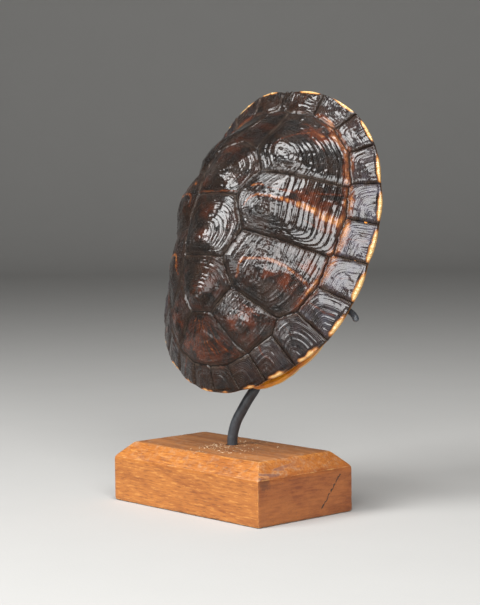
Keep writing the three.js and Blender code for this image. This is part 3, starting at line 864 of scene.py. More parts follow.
def bone_relief(plan):
    """The backbone and the ribs that stand out of the inner face of the dome, in millimetres."""
    along = plan[:, 1] / VERTEBRA_LENGTH
    vertebra = 0.7 + 0.3 * np.cos(2 * math.pi * along)
    backbone = np.exp(-((plan[:, 0] / SPINE_WIDTH) ** 4)) * SPINE_DEPTH * vertebra
    beside = np.abs(plan[:, 0])
    rib_phase = (plan[:, 1] + 0.18 * beside * np.sign(plan[:, 1])) / 160 * RIB_COUNT
    ribs = 0.7 * np.cos(2 * math.pi * rib_phase) * smoothstep(beside, 6, 18)
    ribs *= 1 - smoothstep(beside, 52, 64)
    return (backbone + ribs) * (1 - smoothstep(np.abs(plan[:, 1]), 74, 88))


def shell_bone():
    """The bone under the horn: one closed body, thick at the rim, with the backbone inside."""
    parts = MeshParts("inner", "rim_gap")
    rim = inset(BACK_TABLE.whole_rim(BONE_GAP), BONE_INSET)
    flat, faces, edge = fill_outline(spread(rim), BONE_GAP)
    plan = gather(flat)
    rim_gap = rim_distance(plan, rim)
    surface, normals = BACK.surface(plan)
    outer = surface - normals * BONE_UNDER_HORN
    drop = np.interp(rim_gap, BONE_REACHES, BONE_DROPS)
    dip = bone_relief(plan) + 0.25 * soft_noise(plan, 5, 401) + 0.5 * soft_noise(plan, 15, 402)
    inner = surface - np.column_stack([0 * drop, 0 * drop, drop + dip * smoothstep(rim_gap, 10, 18)])
    count = len(plan)
    band = closed_band(edge, edge + count, flat[edge])
    parts.add(
        shell_to_row(np.concatenate([outer, inner])), [*faces, *(faces[:, ::-1] + count), *band],
        inner=np.repeat([0.0, 1.0], count), rim_gap=np.tile(rim_gap, 2),
    )
    return parts


BELLY_GAP = 1.25
BELLY_INNER_GAP = 2.2
BELLY_RINGS = 9
# The edge's section: how far inwards and how far above the outer face each row lies
BELLY_EDGE = ((0.0, 0.0), (-0.3, 0.5), (-0.4, 1.1), (-0.25, 1.8), (0.3, 2.5), (1.2, 3.0))
# Thickness of the belly plate by distance from its inner rim
BELLY_INNER_REACHES = (0.0, 2.6, 7.0, 90.0)
BELLY_INNER_RISES = (3.0, 4.6, 5.0, 5.0)
BELLY_CROSS_SEAMS = (
    ("belly23", "armpit"), ("belly34", "bridgeSeam"), ("belly45", "groin"), ("belly56", "analNotch"),
)


def add_belly_scute(parts, names, on_rim, core, index, hand, rim):
    """One scute of the belly plate, with growth ridges and grooves at its seams."""
    sides = BELLY_TABLE.sides(names, BELLY_GAP)
    flat, faces, _ = fill_outline(spread(np.concatenate([side[:-1] for side in sides])), BELLY_GAP)
    plan = gather(flat)
    seams = [side for side, a, b in zip(sides, on_rim, on_rim[1:] + on_rim[:1]) if not (a and b)]
    starts, ends = np.concatenate([s[:-1] for s in seams]), np.concatenate([s[1:] for s in seams])
    seam, _ = segment_distance(plan, starts, ends)
    corners = [BELLY_TABLE.corner(name) for name in names]
    growth = growth_share(plan, corners, np.array(core, float) * (hand, 1)) * BELLY_RINGS
    ridges = ridge_wave(growth, plan, 500 + index * 9 + hand) * smoothstep(seam, 0.4, 2)
    relief = 0.16 * ridges - 0.5 * (1 - smoothstep(seam, 0, 1.3)) + 0.1 * soft_noise(plan, 6, 520 + index)
    points, normals = BELLY.surface(plan)
    rim_gap = rim_distance(plan, rim)
    relief *= smoothstep(rim_gap, -0.1, 1.0)
    points = shell_to_row(points - normals * relief[:, None])
    parts.add(points, faces[:, ::-1], growth=growth, seam=seam, rim_gap=rim_gap)


def add_belly_edge(parts, rim):
    """The rounded edge of the belly plate."""
    base = BELLY.height(rim)
    rows = [np.column_stack([inset(rim, width), base + rise]) for width, rise in BELLY_EDGE]
    widths = np.repeat([width for width, _ in BELLY_EDGE], len(rim))
    lip = smoothstep(np.repeat(np.arange(len(rows)), len(rim)), 0, len(rows) - 1)
    faces = np.array(ring_band(0, len(rim), len(rows)))[:, ::-1]
    parts.add(shell_to_row(np.concatenate(rows)), faces, seam=9.0, inner=lip, rim_gap=widths)


def add_belly_inside(parts, rim):
    """The inner face of the belly plate, with its sutures."""
    rim_inset = BELLY_EDGE[-1][0]
    inner_rim = inset(rim, rim_inset)
    flat, faces, _ = fill_outline(spread(inner_rim), BELLY_INNER_GAP)
    plan = gather(flat)
    rim_gap = rim_distance(plan, inner_rim)
    height = BELLY.height(plan) + np.interp(rim_gap, BELLY_INNER_REACHES, BELLY_INNER_RISES)
    height += (0.25 * soft_noise(plan, 8, 541) + 0.1 * soft_noise(plan, 3, 542)) * smoothstep(rim_gap, 1, 5)
    seam = np.abs(plan[:, 0])
    folded = np.column_stack([np.abs(plan[:, 0]), plan[:, 1]])
    for names in BELLY_CROSS_SEAMS:
        line = BELLY_TABLE.side(*names, 4.0)
        seam = np.minimum(seam, segment_distance(folded, line[:-1], line[1:])[0])
    height -= 0.35 * (1 - smoothstep(seam, 0, 1.5))
    points = shell_to_row(np.column_stack([plan, height]))
    parts.add(points, faces, seam=seam, inner=1.0, rim_gap=rim_gap + rim_inset)


def belly_plate():
    """The horn of the belly plate and the bridges, its rounded edge and its inner face."""
    parts = MeshParts("growth", "seam", "inner", "rim_gap")
    rim = BELLY_TABLE.whole_rim(BELLY_GAP)
    for index, (outline, core) in enumerate(BELLY_SCUTES):
        on_rim = [name in BELLY_RIM for name in outline]
        for hand in (1, -1):
            names = on_hand(outline, BELLY_CORNERS, hand)
            add_belly_scute(parts, names, on_rim, core, index, hand, rim)
    add_belly_edge(parts, rim)
    add_belly_inside(parts, rim)
    return parts


def smooth_route(points, step):
    """Evenly spaced points on a centripetal curve through the given ones, in metres."""
    points = np.asarray(points, float)
    padded = np.concatenate([[2 * points[0] - points[1]], points, [2 * points[-1] - points[-2]]])
    dense = []
    for before, start, end, after in zip(padded, padded[1:], padded[2:], padded[3:]):
        steps = np.diff([before, start, end, after], axis=0)
        lead, span, trail = (np.linalg.norm(step) ** 0.5 for step in steps)
        leave = ((start - before) / lead - (end - before) / (lead + span)) * span + (end - start)
        arrive = (end - start) - ((after - start) / (span + trail) - (after - end) / trail) * span
        t = np.linspace(0, 1, 40)[:-1, None]
        bow = 2 * start - 2 * end + leave + arrive
        sway = -3 * start + 3 * end - 2 * leave - arrive
        dense.append(start + leave * t + sway * t ** 2 + bow * t ** 3)
    dense = np.concatenate([*dense, points[-1:]])
    walked = np.concatenate([[0], np.cumsum(np.linalg.norm(np.diff(dense, axis=0), axis=1))])
    marks = np.linspace(0, walked[-1], round(walked[-1] / step) + 1)
    return np.column_stack([np.interp(marks, walked, dense[:, axis]) for axis in range(3)])


def capped_tube(sides, rings):
    """Faces of a tube whose rings have as many points as sides, closed at both ends."""
    last = sides * (rings - 1)
    return ring_band(0, sides, rings) + [tuple(range(sides))[::-1], tuple(range(last, last + sides))]


def add_rod(parts, route, radius, sides):
    """A round rod along a route, its ends rounded off, with a value that grows towards its tips."""
    ways = np.gradient(route, axis=0)
    ways /= np.linalg.norm(ways, axis=1)[:, None]
    across = np.cross(ways[0], (0.3, 0.5, 0.8))
    rings, radii, centres = [], [], []
    walked = np.concatenate([[0], np.cumsum(np.linalg.norm(np.diff(route, axis=0), axis=1))])
    rest = walked[-1] - walked
    for centre, way, gone, left in zip(route, ways, walked, rest):
        across = across - way * (across @ way)
        across /= np.linalg.norm(across)
        share = min(gone / radius, left / radius, 1)
        rings.append((across.copy(), np.cross(way, across)))
        radii.append(radius * max(math.sqrt(1 - (1 - share) ** 2), 0.02))
        centres.append(centre)
    turn = np.linspace(0, 2 * math.pi, sides, endpoint=False)
    points = np.concatenate([
        centre + reach * (np.cos(turn)[:, None] * u + np.sin(turn)[:, None] * v)
        for centre, reach, (u, v) in zip(centres, radii, rings)
    ])
    worn = np.repeat(np.exp(-np.minimum(walked, rest) / (radius * 2)), sides)
    parts.add(points, capped_tube(sides, len(centres)), edge=worn)


def finer_ends(route, radius):
    """Adds rings near both ends of a route, so that the ends can be rounded."""
    walked = np.concatenate([[0], np.cumsum(np.linalg.norm(np.diff(route, axis=0), axis=1))])
    near = radius * (1 - np.cos(np.linspace(0, math.pi / 2, 7)))
    marks = np.unique(np.concatenate([near, walked, walked[-1] - near]))
    marks = marks[np.concatenate([[True], np.diff(marks) > radius * 0.02])]
    return np.column_stack([np.interp(marks, walked, route[:, axis]) for axis in range(3)])


def lying_rod(x, y, radius):
    """The middle of a rod that lies under the belly plate, in the shell's frame."""
    return x, y, BELLY.height(np.array([[x, y]], float))[0] - radius - FIT_GAP


def cradle_rod(settings):
    """The stem and the cross arm with its two hooks, and the weld between them."""
    parts = MeshParts("edge")
    foot = [(*ROD_FOOT, z) for z in (BLOCK_TOP - HOLE_DEPTH + FIT_GAP, BLOCK_TOP - 8, BLOCK_TOP)]
    rests = [lying_rod(x, y, STEM_RADIUS) for x, y in STEM_RESTS]
    stem = np.concatenate([np.array(foot + list(STEM_PATH)) * MM, shell_to_row(rests)])
    right = [lying_rod(x, y, ARM_RADIUS) for x, y in ARM_RESTS] + list(ARM_PATH)
    left = [(-x, y, z) for x, y, z in reversed(right[1:])]
    arms = shell_to_row(left + right)
    stem_route = finer_ends(smooth_route(stem, settings.step), STEM_RADIUS * MM)
    arm_route = finer_ends(smooth_route(arms, settings.step), ARM_RADIUS * MM)
    add_rod(parts, stem_route, STEM_RADIUS * MM, settings.sides)
    add_rod(parts, arm_route, ARM_RADIUS * MM, settings.sides)
    centre_x, centre_y = STEM_RESTS[-1][0] + 0.6, ARM_RESTS[0][1]
    height = lying_rod(0.0, centre_y, ARM_RADIUS)[2]
    for hand in (1, -1):
        start, end = centre_x + hand * 1.5, centre_x + hand * 7.0
        bead = shell_to_row([(x, centre_y, height) for x in np.linspace(start, end, 12)])
        add_bead(parts, bead, settings.sides, 610 + hand)
    return parts


def add_bead(parts, route, sides, seed):
    """A weld bead: a lumpy collar that thins away along a route."""
    way = route[-1] - route[0]
    way /= np.linalg.norm(way)
    across = np.cross(way, (0, 0, 1))
    across /= np.linalg.norm(across)
    other = np.cross(way, across)
    lumps = np.random.default_rng(seed).uniform(0.92, 1.1, (len(route), sides))
    turn = np.linspace(0, 2 * math.pi, sides, endpoint=False)
    share = np.linspace(0, 1, len(route))
    reach = (STEM_RADIUS * 0.98 * (1 - share) ** 1.6 + ARM_RADIUS * 0.99) * MM
    reach[-1] = ARM_RADIUS * 0.9 * MM
    reach[0] = STEM_RADIUS * 0.5 * MM
    points = np.concatenate([
        centre + r * (row * np.cos(turn))[:, None] * across + r * (row * np.sin(turn))[:, None] * other
        for centre, r, row in zip(route, reach, lumps)
    ])
    faces = capped_tube(sides, len(route))
    if np.cross(other, across) @ way > 0:
        faces = [face[::-1] for face in faces]
    parts.add(points, faces, edge=0.35)


# How round the rubbed arrises are, how far along a face the wear reaches and how deep its bruises are
EDGE_SHARPNESS = 2.2
WEAR_REACH = 0.9
WEAR_DEPTH = 0.28


class BlockForm:
    """The block as flat faces, with its arrises rubbed round."""

    def __init__(self, settings):
        half_x, half_y = settings.length / 2 / MM, settings.depth / 2 / MM
        top = settings.height / MM
        chest = top - BLOCK_BEVEL
        self.half = (half_x, half_y, top)
        self.gap = settings.point_gap / MM
        lean = math.sqrt(0.5)
        self.planes = [
            ((1, 0, 0), half_x), ((-1, 0, 0), half_x), ((0, 1, 0), half_y), ((0, -1, 0), half_y),
            ((0, 0, 1), top), ((0, 0, -1), 0),
            ((lean, 0, lean), (half_x + chest) * lean), ((-lean, 0, lean), (half_x + chest) * lean),
            ((0, lean, lean), (half_y + chest) * lean), ((0, -lean, lean), (half_y + chest) * lean),
        ]
        x, y, b = half_x, half_y, BLOCK_BEVEL
        self.top = [(-x + b, -y + b, top), (x - b, -y + b, top), (x - b, y - b, top), (-x + b, y - b, top)]
        rims = [(-x, -y, chest), (x, -y, chest), (x, y, chest), (-x, y, chest)]
        feet = [(px, py, 0) for px, py, _ in rims]
        self.faces = [feet[::-1]]
        for k in range(4):
            n = (k + 1) % 4
            self.faces.append([feet[k], feet[n], rims[n], rims[k]])
            self.faces.append([rims[k], rims[n], self.top[n], self.top[k]])

    def worn(self, points):
        """Moves points on to the block with its arrises rubbed, and says how near an arris each one is."""
        normals = np.array([n for n, _ in self.planes], float)
        reaches = np.array([d for _, d in self.planes], float)
        beyond = points @ normals.T - reaches
        ordered = np.sort(beyond, axis=1)
        edge = np.exp(ordered[:, -2] / WEAR_REACH)
        folded = np.column_stack([points[:, 0] + points[:, 2] * 0.7, points[:, 1] + points[:, 2] * 0.4])
        bruise = np.maximum(soft_noise(folded, 4.2, 701) + soft_noise(folded, 1.7, 702) * 0.5 - 0.25, 0)
        for _ in range(3):
            beyond = points @ normals.T - reaches
            weights = np.exp(EDGE_SHARPNESS * beyond)
            total = weights.sum(1)
            level = np.log(total) / EDGE_SHARPNESS
            out = (weights / total[:, None]) @ normals
            points = points - out * (level + WEAR_DEPTH * bruise * edge)[:, None] / (out ** 2).sum(1)[:, None]
        return points, edge

    def sheet(self, corners, hole=None):
        """One flat face filled with triangles, as points in space."""
        corners = np.array(corners, float)
        along = corners[1] - corners[0]
        along /= np.linalg.norm(along)
        up = corners[3] - corners[0]
        up = up - along * (up @ along)
        up /= np.linalg.norm(up)
        flat_corners = np.column_stack([(corners - corners[0]) @ along, (corners - corners[0]) @ up])
        outline = []
        for a, b in zip(flat_corners, np.roll(flat_corners, -1, axis=0)):
            steps = max(1, round(np.linalg.norm(b - a) / self.gap))
            outline.extend(a + (b - a) * k / steps for k in range(steps))
        flat_hole = None
        if hole is not None:
            centre, ring = (np.column_stack([(p - corners[0]) @ along, (p - corners[0]) @ up]) for p in hole)
            flat_hole = (centre[0], ring)
        flat, faces, _ = fill_outline(np.array(outline), self.gap, flat_hole)
        return corners[0] + flat[:, :1] * along + flat[:, 1:] * up, faces


def wooden_block(settings):
    """The block with its drilled hole."""
    form = BlockForm(settings)
    parts = MeshParts("edge", "bore")
    turn = np.linspace(0, 2 * math.pi, 48, endpoint=False)
    top = form.half[2]
    circle = np.column_stack([np.cos(turn), np.sin(turn)])
    ring = np.column_stack([ROD_FOOT + circle * HOLE_RADIUS, np.full(len(turn), top)])
    centre = np.array([[*ROD_FOOT, top]])
    for corners in form.faces:
        points, faces = form.sheet(corners)
        points, edge = form.worn(points)
        parts.add(points * MM, faces, edge=edge)
    points, faces = form.sheet(form.top, (centre, ring))
    from_hole = np.linalg.norm(points[:, :2] - ROD_FOOT, axis=1) - HOLE_RADIUS
    points, edge = form.worn(points)
    edge = np.maximum(edge, np.exp(-np.maximum(from_hole, 0) / 0.6))
    parts.add(points * MM, faces, edge=edge)
    depths = np.array([0, 0.12, 0.35, 1.0, 3.0, 8.0, 15.0, HOLE_DEPTH])
    narrowing = np.array([0, 0.14, 0.24, 0.3, 0.3, 0.3, 0.3, 0.3])
    wall = np.concatenate([
        np.column_stack([ROD_FOOT + circle * (HOLE_RADIUS - less), np.full(len(turn), top - depth)])
        for depth, less in zip(depths, narrowing)
    ])
    faces = [face[::-1] for face in ring_band(0, len(turn), len(depths))]
    last = len(wall) - len(turn)
    wall = np.concatenate([wall, [[*ROD_FOOT, top - HOLE_DEPTH]]])
    bottom = [(last + k, last + (k + 1) % len(turn), len(wall) - 1) for k in range(len(turn))]
    parts.add(wall * MM, faces + bottom, bore=1.0)
    return parts


# Where sawdust has settled on the block's top: centre, spread and share of the crumbs
DUST_HEAPS = (
    ((-6, -10), 6.5, 0.45), ((10, -6), 13, 0.2), ((2, 14), 8, 0.15), ((15, -18), 6, 0.1), ((0, 0), 48, 0.1),
)


def sawdust_specks(settings):
    """Crumbs of sawdust on the block's top and front bevel."""
    parts = MeshParts("edge")
    chance = np.random.default_rng(811)
    top = settings.height / MM
    half_x, half_y = settings.length / 2 / MM - BLOCK_BEVEL - 1, settings.depth / 2 / MM - BLOCK_BEVEL - 1
    shares = [share for _, _, share in DUST_HEAPS]
    corners = np.array([(1, 0, 0), (-1, 0, 0), (0, 1, 0), (0, -1, 0), (0, 0, 1), (0, 0, -1)], float)
    faces = [(0, 2, 4), (2, 1, 4), (1, 3, 4), (3, 0, 4), (2, 0, 5), (1, 2, 5), (3, 1, 5), (0, 3, 5)]
    placed = 0
    while placed < settings.crumbs:
        heap = DUST_HEAPS[chance.choice(len(DUST_HEAPS), p=shares)]
        x, y = np.array(heap[0]) + chance.normal(0, heap[1], 2)
        radius = 0.16 + 0.5 * chance.random() ** 3
        beside_rod = math.hypot(x - ROD_FOOT[0], y - ROD_FOOT[1]) < HOLE_RADIUS + 1
        if abs(x) > half_x or abs(y) > half_y or beside_rod:
            continue
        turn = chance.random() * math.pi
        reach = radius * np.array([1 + chance.random(), 0.8, 0.5])
        lumps = corners * reach * chance.uniform(0.7, 1.2, (6, 1))
        cos, sin = math.cos(turn), math.sin(turn)
        spin = np.array([[cos, sin, 0], [-sin, cos, 0], [0, 0, 1]])
        points = lumps @ spin + (x, y, top + reach[2] * 0.6 - 0.05)
        parts.add(points * MM, faces, edge=chance.random())
        placed += 1
    return parts


class NodeSheet:
    """Adds nodes to one tree and joins them: an input is a number, a colour or another node's output."""

    def __init__(self, tree):
        self.tree = tree

    def add(self, kind, inputs=None, output=0, **settings):
        node = self.tree.nodes.new("ShaderNode" + kind)
        for key, value in settings.items():
            setattr(node, key, value)
        for key, value in (inputs or {}).items():
            self.join(value, node.inputs[key])
        return node.outputs[output]

    def join(self, value, socket):
        if isinstance(value, bpy.types.NodeSocket):
            self.tree.links.new(value, socket)
        else:
            socket.default_value = value

    def math(self, operation, first, second=0.0):
        return self.add("Math", {0: first, 1: second}, operation=operation)

    def plus(self, first, *others):
        for other in others:
            first = self.math("ADD", first, other)
        return first

    def minus(self, first, second):
        return self.math("SUBTRACT", first, second)

    def times(self, first, *others):
        for other in others:
            first = self.math("MULTIPLY", first, other)
        return first

    def apart(self, first, second):
        """How far two values lie apart."""
        return self.math("ABSOLUTE", self.minus(first, second))

    def between(self, value, low, high, start=0.0, end=1.0):
        """The value's way from low to high, turned into a smooth way from start to end."""
        inputs = {"Value": value, "From Min": low, "From Max": high, "To Min": start, "To Max": end}
        return self.add("MapRange", inputs, interpolation_type="SMOOTHSTEP")

    def mix(self, share, first, second):
        return self.add("Mix", {0: share, 6: first, 7: second}, output=2, data_type="RGBA")

    def cover(self, colour, upper, *shares):
        """The colour with an upper one laid over it, as far as the product of the shares."""
        return self.mix(self.times(*shares), colour, upper)

    def value(self, name):
        return self.add("Attribute", output=2, attribute_name=name)

    def vector(self, operation, first, second, output=0):
        return self.add("VectorMath", {0: first, 1: second}, output=output, operation=operation)

    def place(self, stretch=(1, 1, 1)):
        """Where the surface's point lies in its piece, in metres, stretched along the axes."""
        return self.vector("MULTIPLY", self.add("TexCoord", output=3), stretch)

    def axis(self, vector, number):
        return self.add("SeparateXYZ", {0: vector}, output=number)

    def facing(self, number):
        """The part of the surface's normal along one axis."""
        return self.axis(self.add("NewGeometry", output=1), number)

    def noise(self, scale, detail=4.0, roughness=0.55, distortion=0.0, stretch=(1, 1, 1)):
        inputs = {
            "Vector": self.place(stretch), "Scale": scale, "Detail": detail, "Roughness": roughness,
            "Distortion": distortion,
        }
        return self.add("TexNoise", inputs)

    def patches(self, scale, low, high, start=0.0, end=1.0, **noise):
        """A noise whose values from low to high become start to end."""
        return self.between(self.noise(scale, **noise), low, high, start, end)

    def effect(self, group, output, **inputs):
        node = self.tree.nodes.new("ShaderNodeGroup")
        node.node_tree = group
        for key, value in inputs.items():
            self.join(value, node.inputs[key.replace("_", " ")])
        return node.outputs[output]


def effect_group(name, inputs, outputs, build):
    """A shader node group with named inputs and outputs, made the first time that it is asked for."""
    if name in bpy.data.node_groups:
        return bpy.data.node_groups[name]
    tree = bpy.data.node_groups.new(name, "ShaderNodeTree")
    for label, (kind, default) in inputs.items():
        socket = tree.interface.new_socket(label, in_out="INPUT", socket_type="NodeSocket" + kind)
        socket.default_value = default
    for label, kind in outputs.items():
        tree.interface.new_socket(label, in_out="OUTPUT", socket_type="NodeSocket" + kind)
    entry = tree.nodes.new("NodeGroupInput")
    leave = tree.nodes.new("NodeGroupOutput")
    found = build(NodeSheet(tree), {label: entry.outputs[label] for label in inputs})
    for label, socket in found.items():
        tree.links.new(socket, leave.inputs[label])
    return tree


MOTTLE_SOFTNESS = 0.16


def mottle():
    """Two colours in soft patches, stretched along the axes as asked."""
    def build(sheet, given):
        cloud = sheet.noise(given["Scale"], 5.0, 0.6, 0.4, given["Stretch"])
        low = sheet.minus(given["Balance"], MOTTLE_SOFTNESS)
        high = sheet.plus(given["Balance"], MOTTLE_SOFTNESS)
        mask = sheet.between(cloud, low, high)
        return {"Colour": sheet.mix(mask, given["Dark"], given["Light"]), "Mask": mask}

    inputs = {
        "Dark": ("Color", (0, 0, 0, 1)), "Light": ("Color", (1, 1, 1, 1)), "Scale": ("Float", 60.0),
        "Balance": ("Float", 0.5), "Stretch": ("Vector", (1, 1, 1)),
    }
    return effect_group("Mottle", inputs, {"Colour": "Color", "Mask": "Float"}, build)


def fine_lines():
    """Close parallel lines along a value that grows across the surface."""
    def build(sheet, given):
        waver = sheet.noise(given["Waver Scale"], 3.0)
        phase = sheet.plus(sheet.times(given["Phase"], given["Lines"]), waver)
        height = sheet.between(sheet.math("SINE", sheet.times(phase, 2 * math.pi)), -1.0, 1.0)
        return {"Height": sheet.math("POWER", height, given["Sharpness"])}

    inputs = {
        "Phase": ("Float", 0.0), "Lines": ("Float", 4.0), "Waver Scale": ("Float", 120.0),
        "Sharpness": ("Float", 1.5),
    }
    return effect_group("Fine lines", inputs, {"Height": "Float"}, build)


def rubbed_edges():
    """Where handling has worn a finish away, from how near an edge each point is."""
    def build(sheet, given):
        cloud = sheet.minus(sheet.noise(given["Scale"], 6.0, 0.65), 0.5)
        return {"Mask": sheet.between(sheet.plus(given["Edge"], cloud, given["Amount"]), 0.75, 1.05)}

    inputs = {"Edge": ("Float", 0.0), "Amount": ("Float", 0.0), "Scale": ("Float", 400.0)}
    return effect_group("Rubbed edges", inputs, {"Mask": "Float"}, build)


def settled_dust():
    """Fine dust on the faces that look up."""
    def build(sheet, given):
        cloud = sheet.patches(given["Scale"], 0.45, 0.75, detail=6.0, roughness=0.7)
        return {"Mask": sheet.times(sheet.between(sheet.facing(2), 0.2, 0.95), cloud, given["Amount"])}

    inputs = {"Amount": ("Float", 0.2), "Scale": ("Float", 300.0)}
    return effect_group("Settled dust", inputs, {"Mask": "Float"}, build)


def pores():
    """Small pits and specks."""
    def build(sheet, given):
        inputs = {"Vector": sheet.place(given["Stretch"]), "Scale": given["Scale"]}
        pit = sheet.between(sheet.add("TexVoronoi", inputs, feature="F1"), 0.34, 0.08)
        patch = sheet.patches(90.0, 0.35, 0.7, detail=2.0, stretch=given["Stretch"])
        return {"Mask": sheet.times(pit, patch, given["Amount"])}

    inputs = {"Amount": ("Float", 1.0), "Scale": ("Float", 900.0), "Stretch": ("Vector", (1, 1, 1))}
    return effect_group("Pores", inputs, {"Mask": "Float"}, build)


def new_material(name):
    """A material with the sheet of its nodes and its shader."""
    material = bpy.data.materials.new(name)
    material.use_nodes = True
    sheet = NodeSheet(material.node_tree)
    return material, sheet, material.node_tree.nodes["Principled BSDF"]


def finish_surface(sheet, shader, colour, roughness, height, depth):
    """Joins a surface's colour, roughness and relief to its shader."""
    sheet.join(colour, shader.inputs["Base Color"])
    sheet.join(roughness, shader.inputs["Roughness"])
    bump = sheet.add("Bump", {"Height": height, "Distance": depth, "Strength": 1.0})
    sheet.join(bump, shader.inputs["Normal"])


def varnish(sheet, shader, weight, roughness):
    """A clear coat: how much of it there is, and how dull it is."""
    sheet.join(weight, shader.inputs["Coat Weight"])
    shader.inputs["Coat Roughness"].default_value = roughness


# Colours of linear light that only one material uses
SEAM_BLACK = (0.006, 0.0045, 0.004, 1)
INNER_ORANGE_DARK, INNER_ORANGE_LIGHT = (0.5, 0.09, 0.003, 1), (0.95, 0.36, 0.012, 1)
INNER_BONE_DARK, BONE_DARK = (0.3, 0.19, 0.1, 1), (0.3, 0.2, 0.11, 1)
PORE_BROWN, SUTURE_BROWN = (0.12, 0.07, 0.04, 1), (0.14, 0.08, 0.045, 1)
PAINT_LIGHT, PAINT_DUST = (0.06, 0.068, 0.078, 1), (0.4, 0.36, 0.3, 1)
GRAIN_DARK, GRAIN_LIGHT, PORE_DARK = (0.2, 0.055, 0.01, 1), (0.72, 0.32, 0.075, 1), (0.13, 0.045, 0.015, 1)
END_DARK, END_LIGHT = (0.21, 0.05, 0.013, 1), (0.5, 0.17, 0.04, 1)
# The bore colour is painted shade for the inside of the drilled hole
STAIN_BROWN, CRACK_BLACK, BORE_PAINTED_SHADE = (0.1, 0.035, 0.016, 1), (0.018, 0.012, 0.01, 1), (0.05, 0.02, 0.01, 1)
ISLAND_GREY, ISLAND_EDGE = (0.2, 0.105, 0.085, 1), (0.6, 0.27, 0.1, 1)
# Painted shade of the block's top: its paler and deeper tones
TOP_SHADE_PALE, TOP_SHADE_DEEP = (0.42, 0.16, 0.045, 1), (0.24, 0.08, 0.022, 1)
WORN_WOOD, WOOD_DUST = (0.75, 0.42, 0.16, 1), (0.5, 0.4, 0.28, 1)
CRUMB_DARK, CRUMB_LIGHT, CRUMB_BROWN = (0.78, 0.56, 0.32, 1), (0.92, 0.84, 0.66, 1), (0.66, 0.42, 0.2, 1)


def scute_horn(settings):
    """Dark varnished horn with rust, amber and cream in it, a painted sheen on the rim and painted shade in
    its grooves.
    """
    material, sheet, shader = new_material("scute_horn")
    seam, ridge, under = (sheet.value(name) for name in ("seam", "ridge", "under"))
    above = sheet.minus(1.0, under)
    beside_seam = sheet.times(sheet.between(seam, 3.2, 1.0), above)
    stripes = sheet.effect(
        fine_lines(), "Height", Phase=sheet.value("run"), Lines=1.1, Waver_Scale=260.0, Sharpness=1.1
    )
    # Painted sheen of the rim: a painted reflection, which also dulls the coat there
    painted_sheen_haze = sheet.times(sheet.value("sheen"), sheet.patches(160.0, 0.3, 0.65))
    colour = horn_colour(sheet, settings, seam, ridge, under, above, beside_seam, stripes, painted_sheen_haze)
    lines = sheet.effect(
        fine_lines(), "Height", Phase=sheet.value("growth"), Lines=3.0, Waver_Scale=150.0, Sharpness=1.4
    )
    pits = sheet.effect(pores(), "Mask", Scale=1100.0, Amount=1.0)
    height = sheet.minus(sheet.times(lines, 0.55), sheet.times(pits, 0.4))
    height = sheet.plus(height, sheet.times(sheet.noise(900.0, 5.0, 0.65), 0.25))
    height = sheet.plus(height, sheet.times(stripes, beside_seam, 0.7))
    roughness = sheet.patches(210.0, 0.3, 0.75, 0.2, 0.36, detail=5.0, roughness=0.6)
    dust = sheet.effect(settled_dust(), "Mask", Amount=0.3, Scale=420.0)
    roughness = sheet.plus(roughness, sheet.times(beside_seam, 0.12), dust)
    finish_surface(sheet, shader, colour, roughness, height, 0.0004)
    coat = sheet.minus(sheet.between(beside_seam, 1.0, 0.0, 0.45, 1.0), sheet.times(painted_sheen_haze, 0.5))
    dull_below = sheet.between(sheet.facing(2), -0.25, 0.1, 0.15, 1.0)
    varnish(sheet, shader, sheet.times(coat, dull_below), 0.09)
    shader.inputs["Specular IOR Level"].default_value = 0.22
    return material


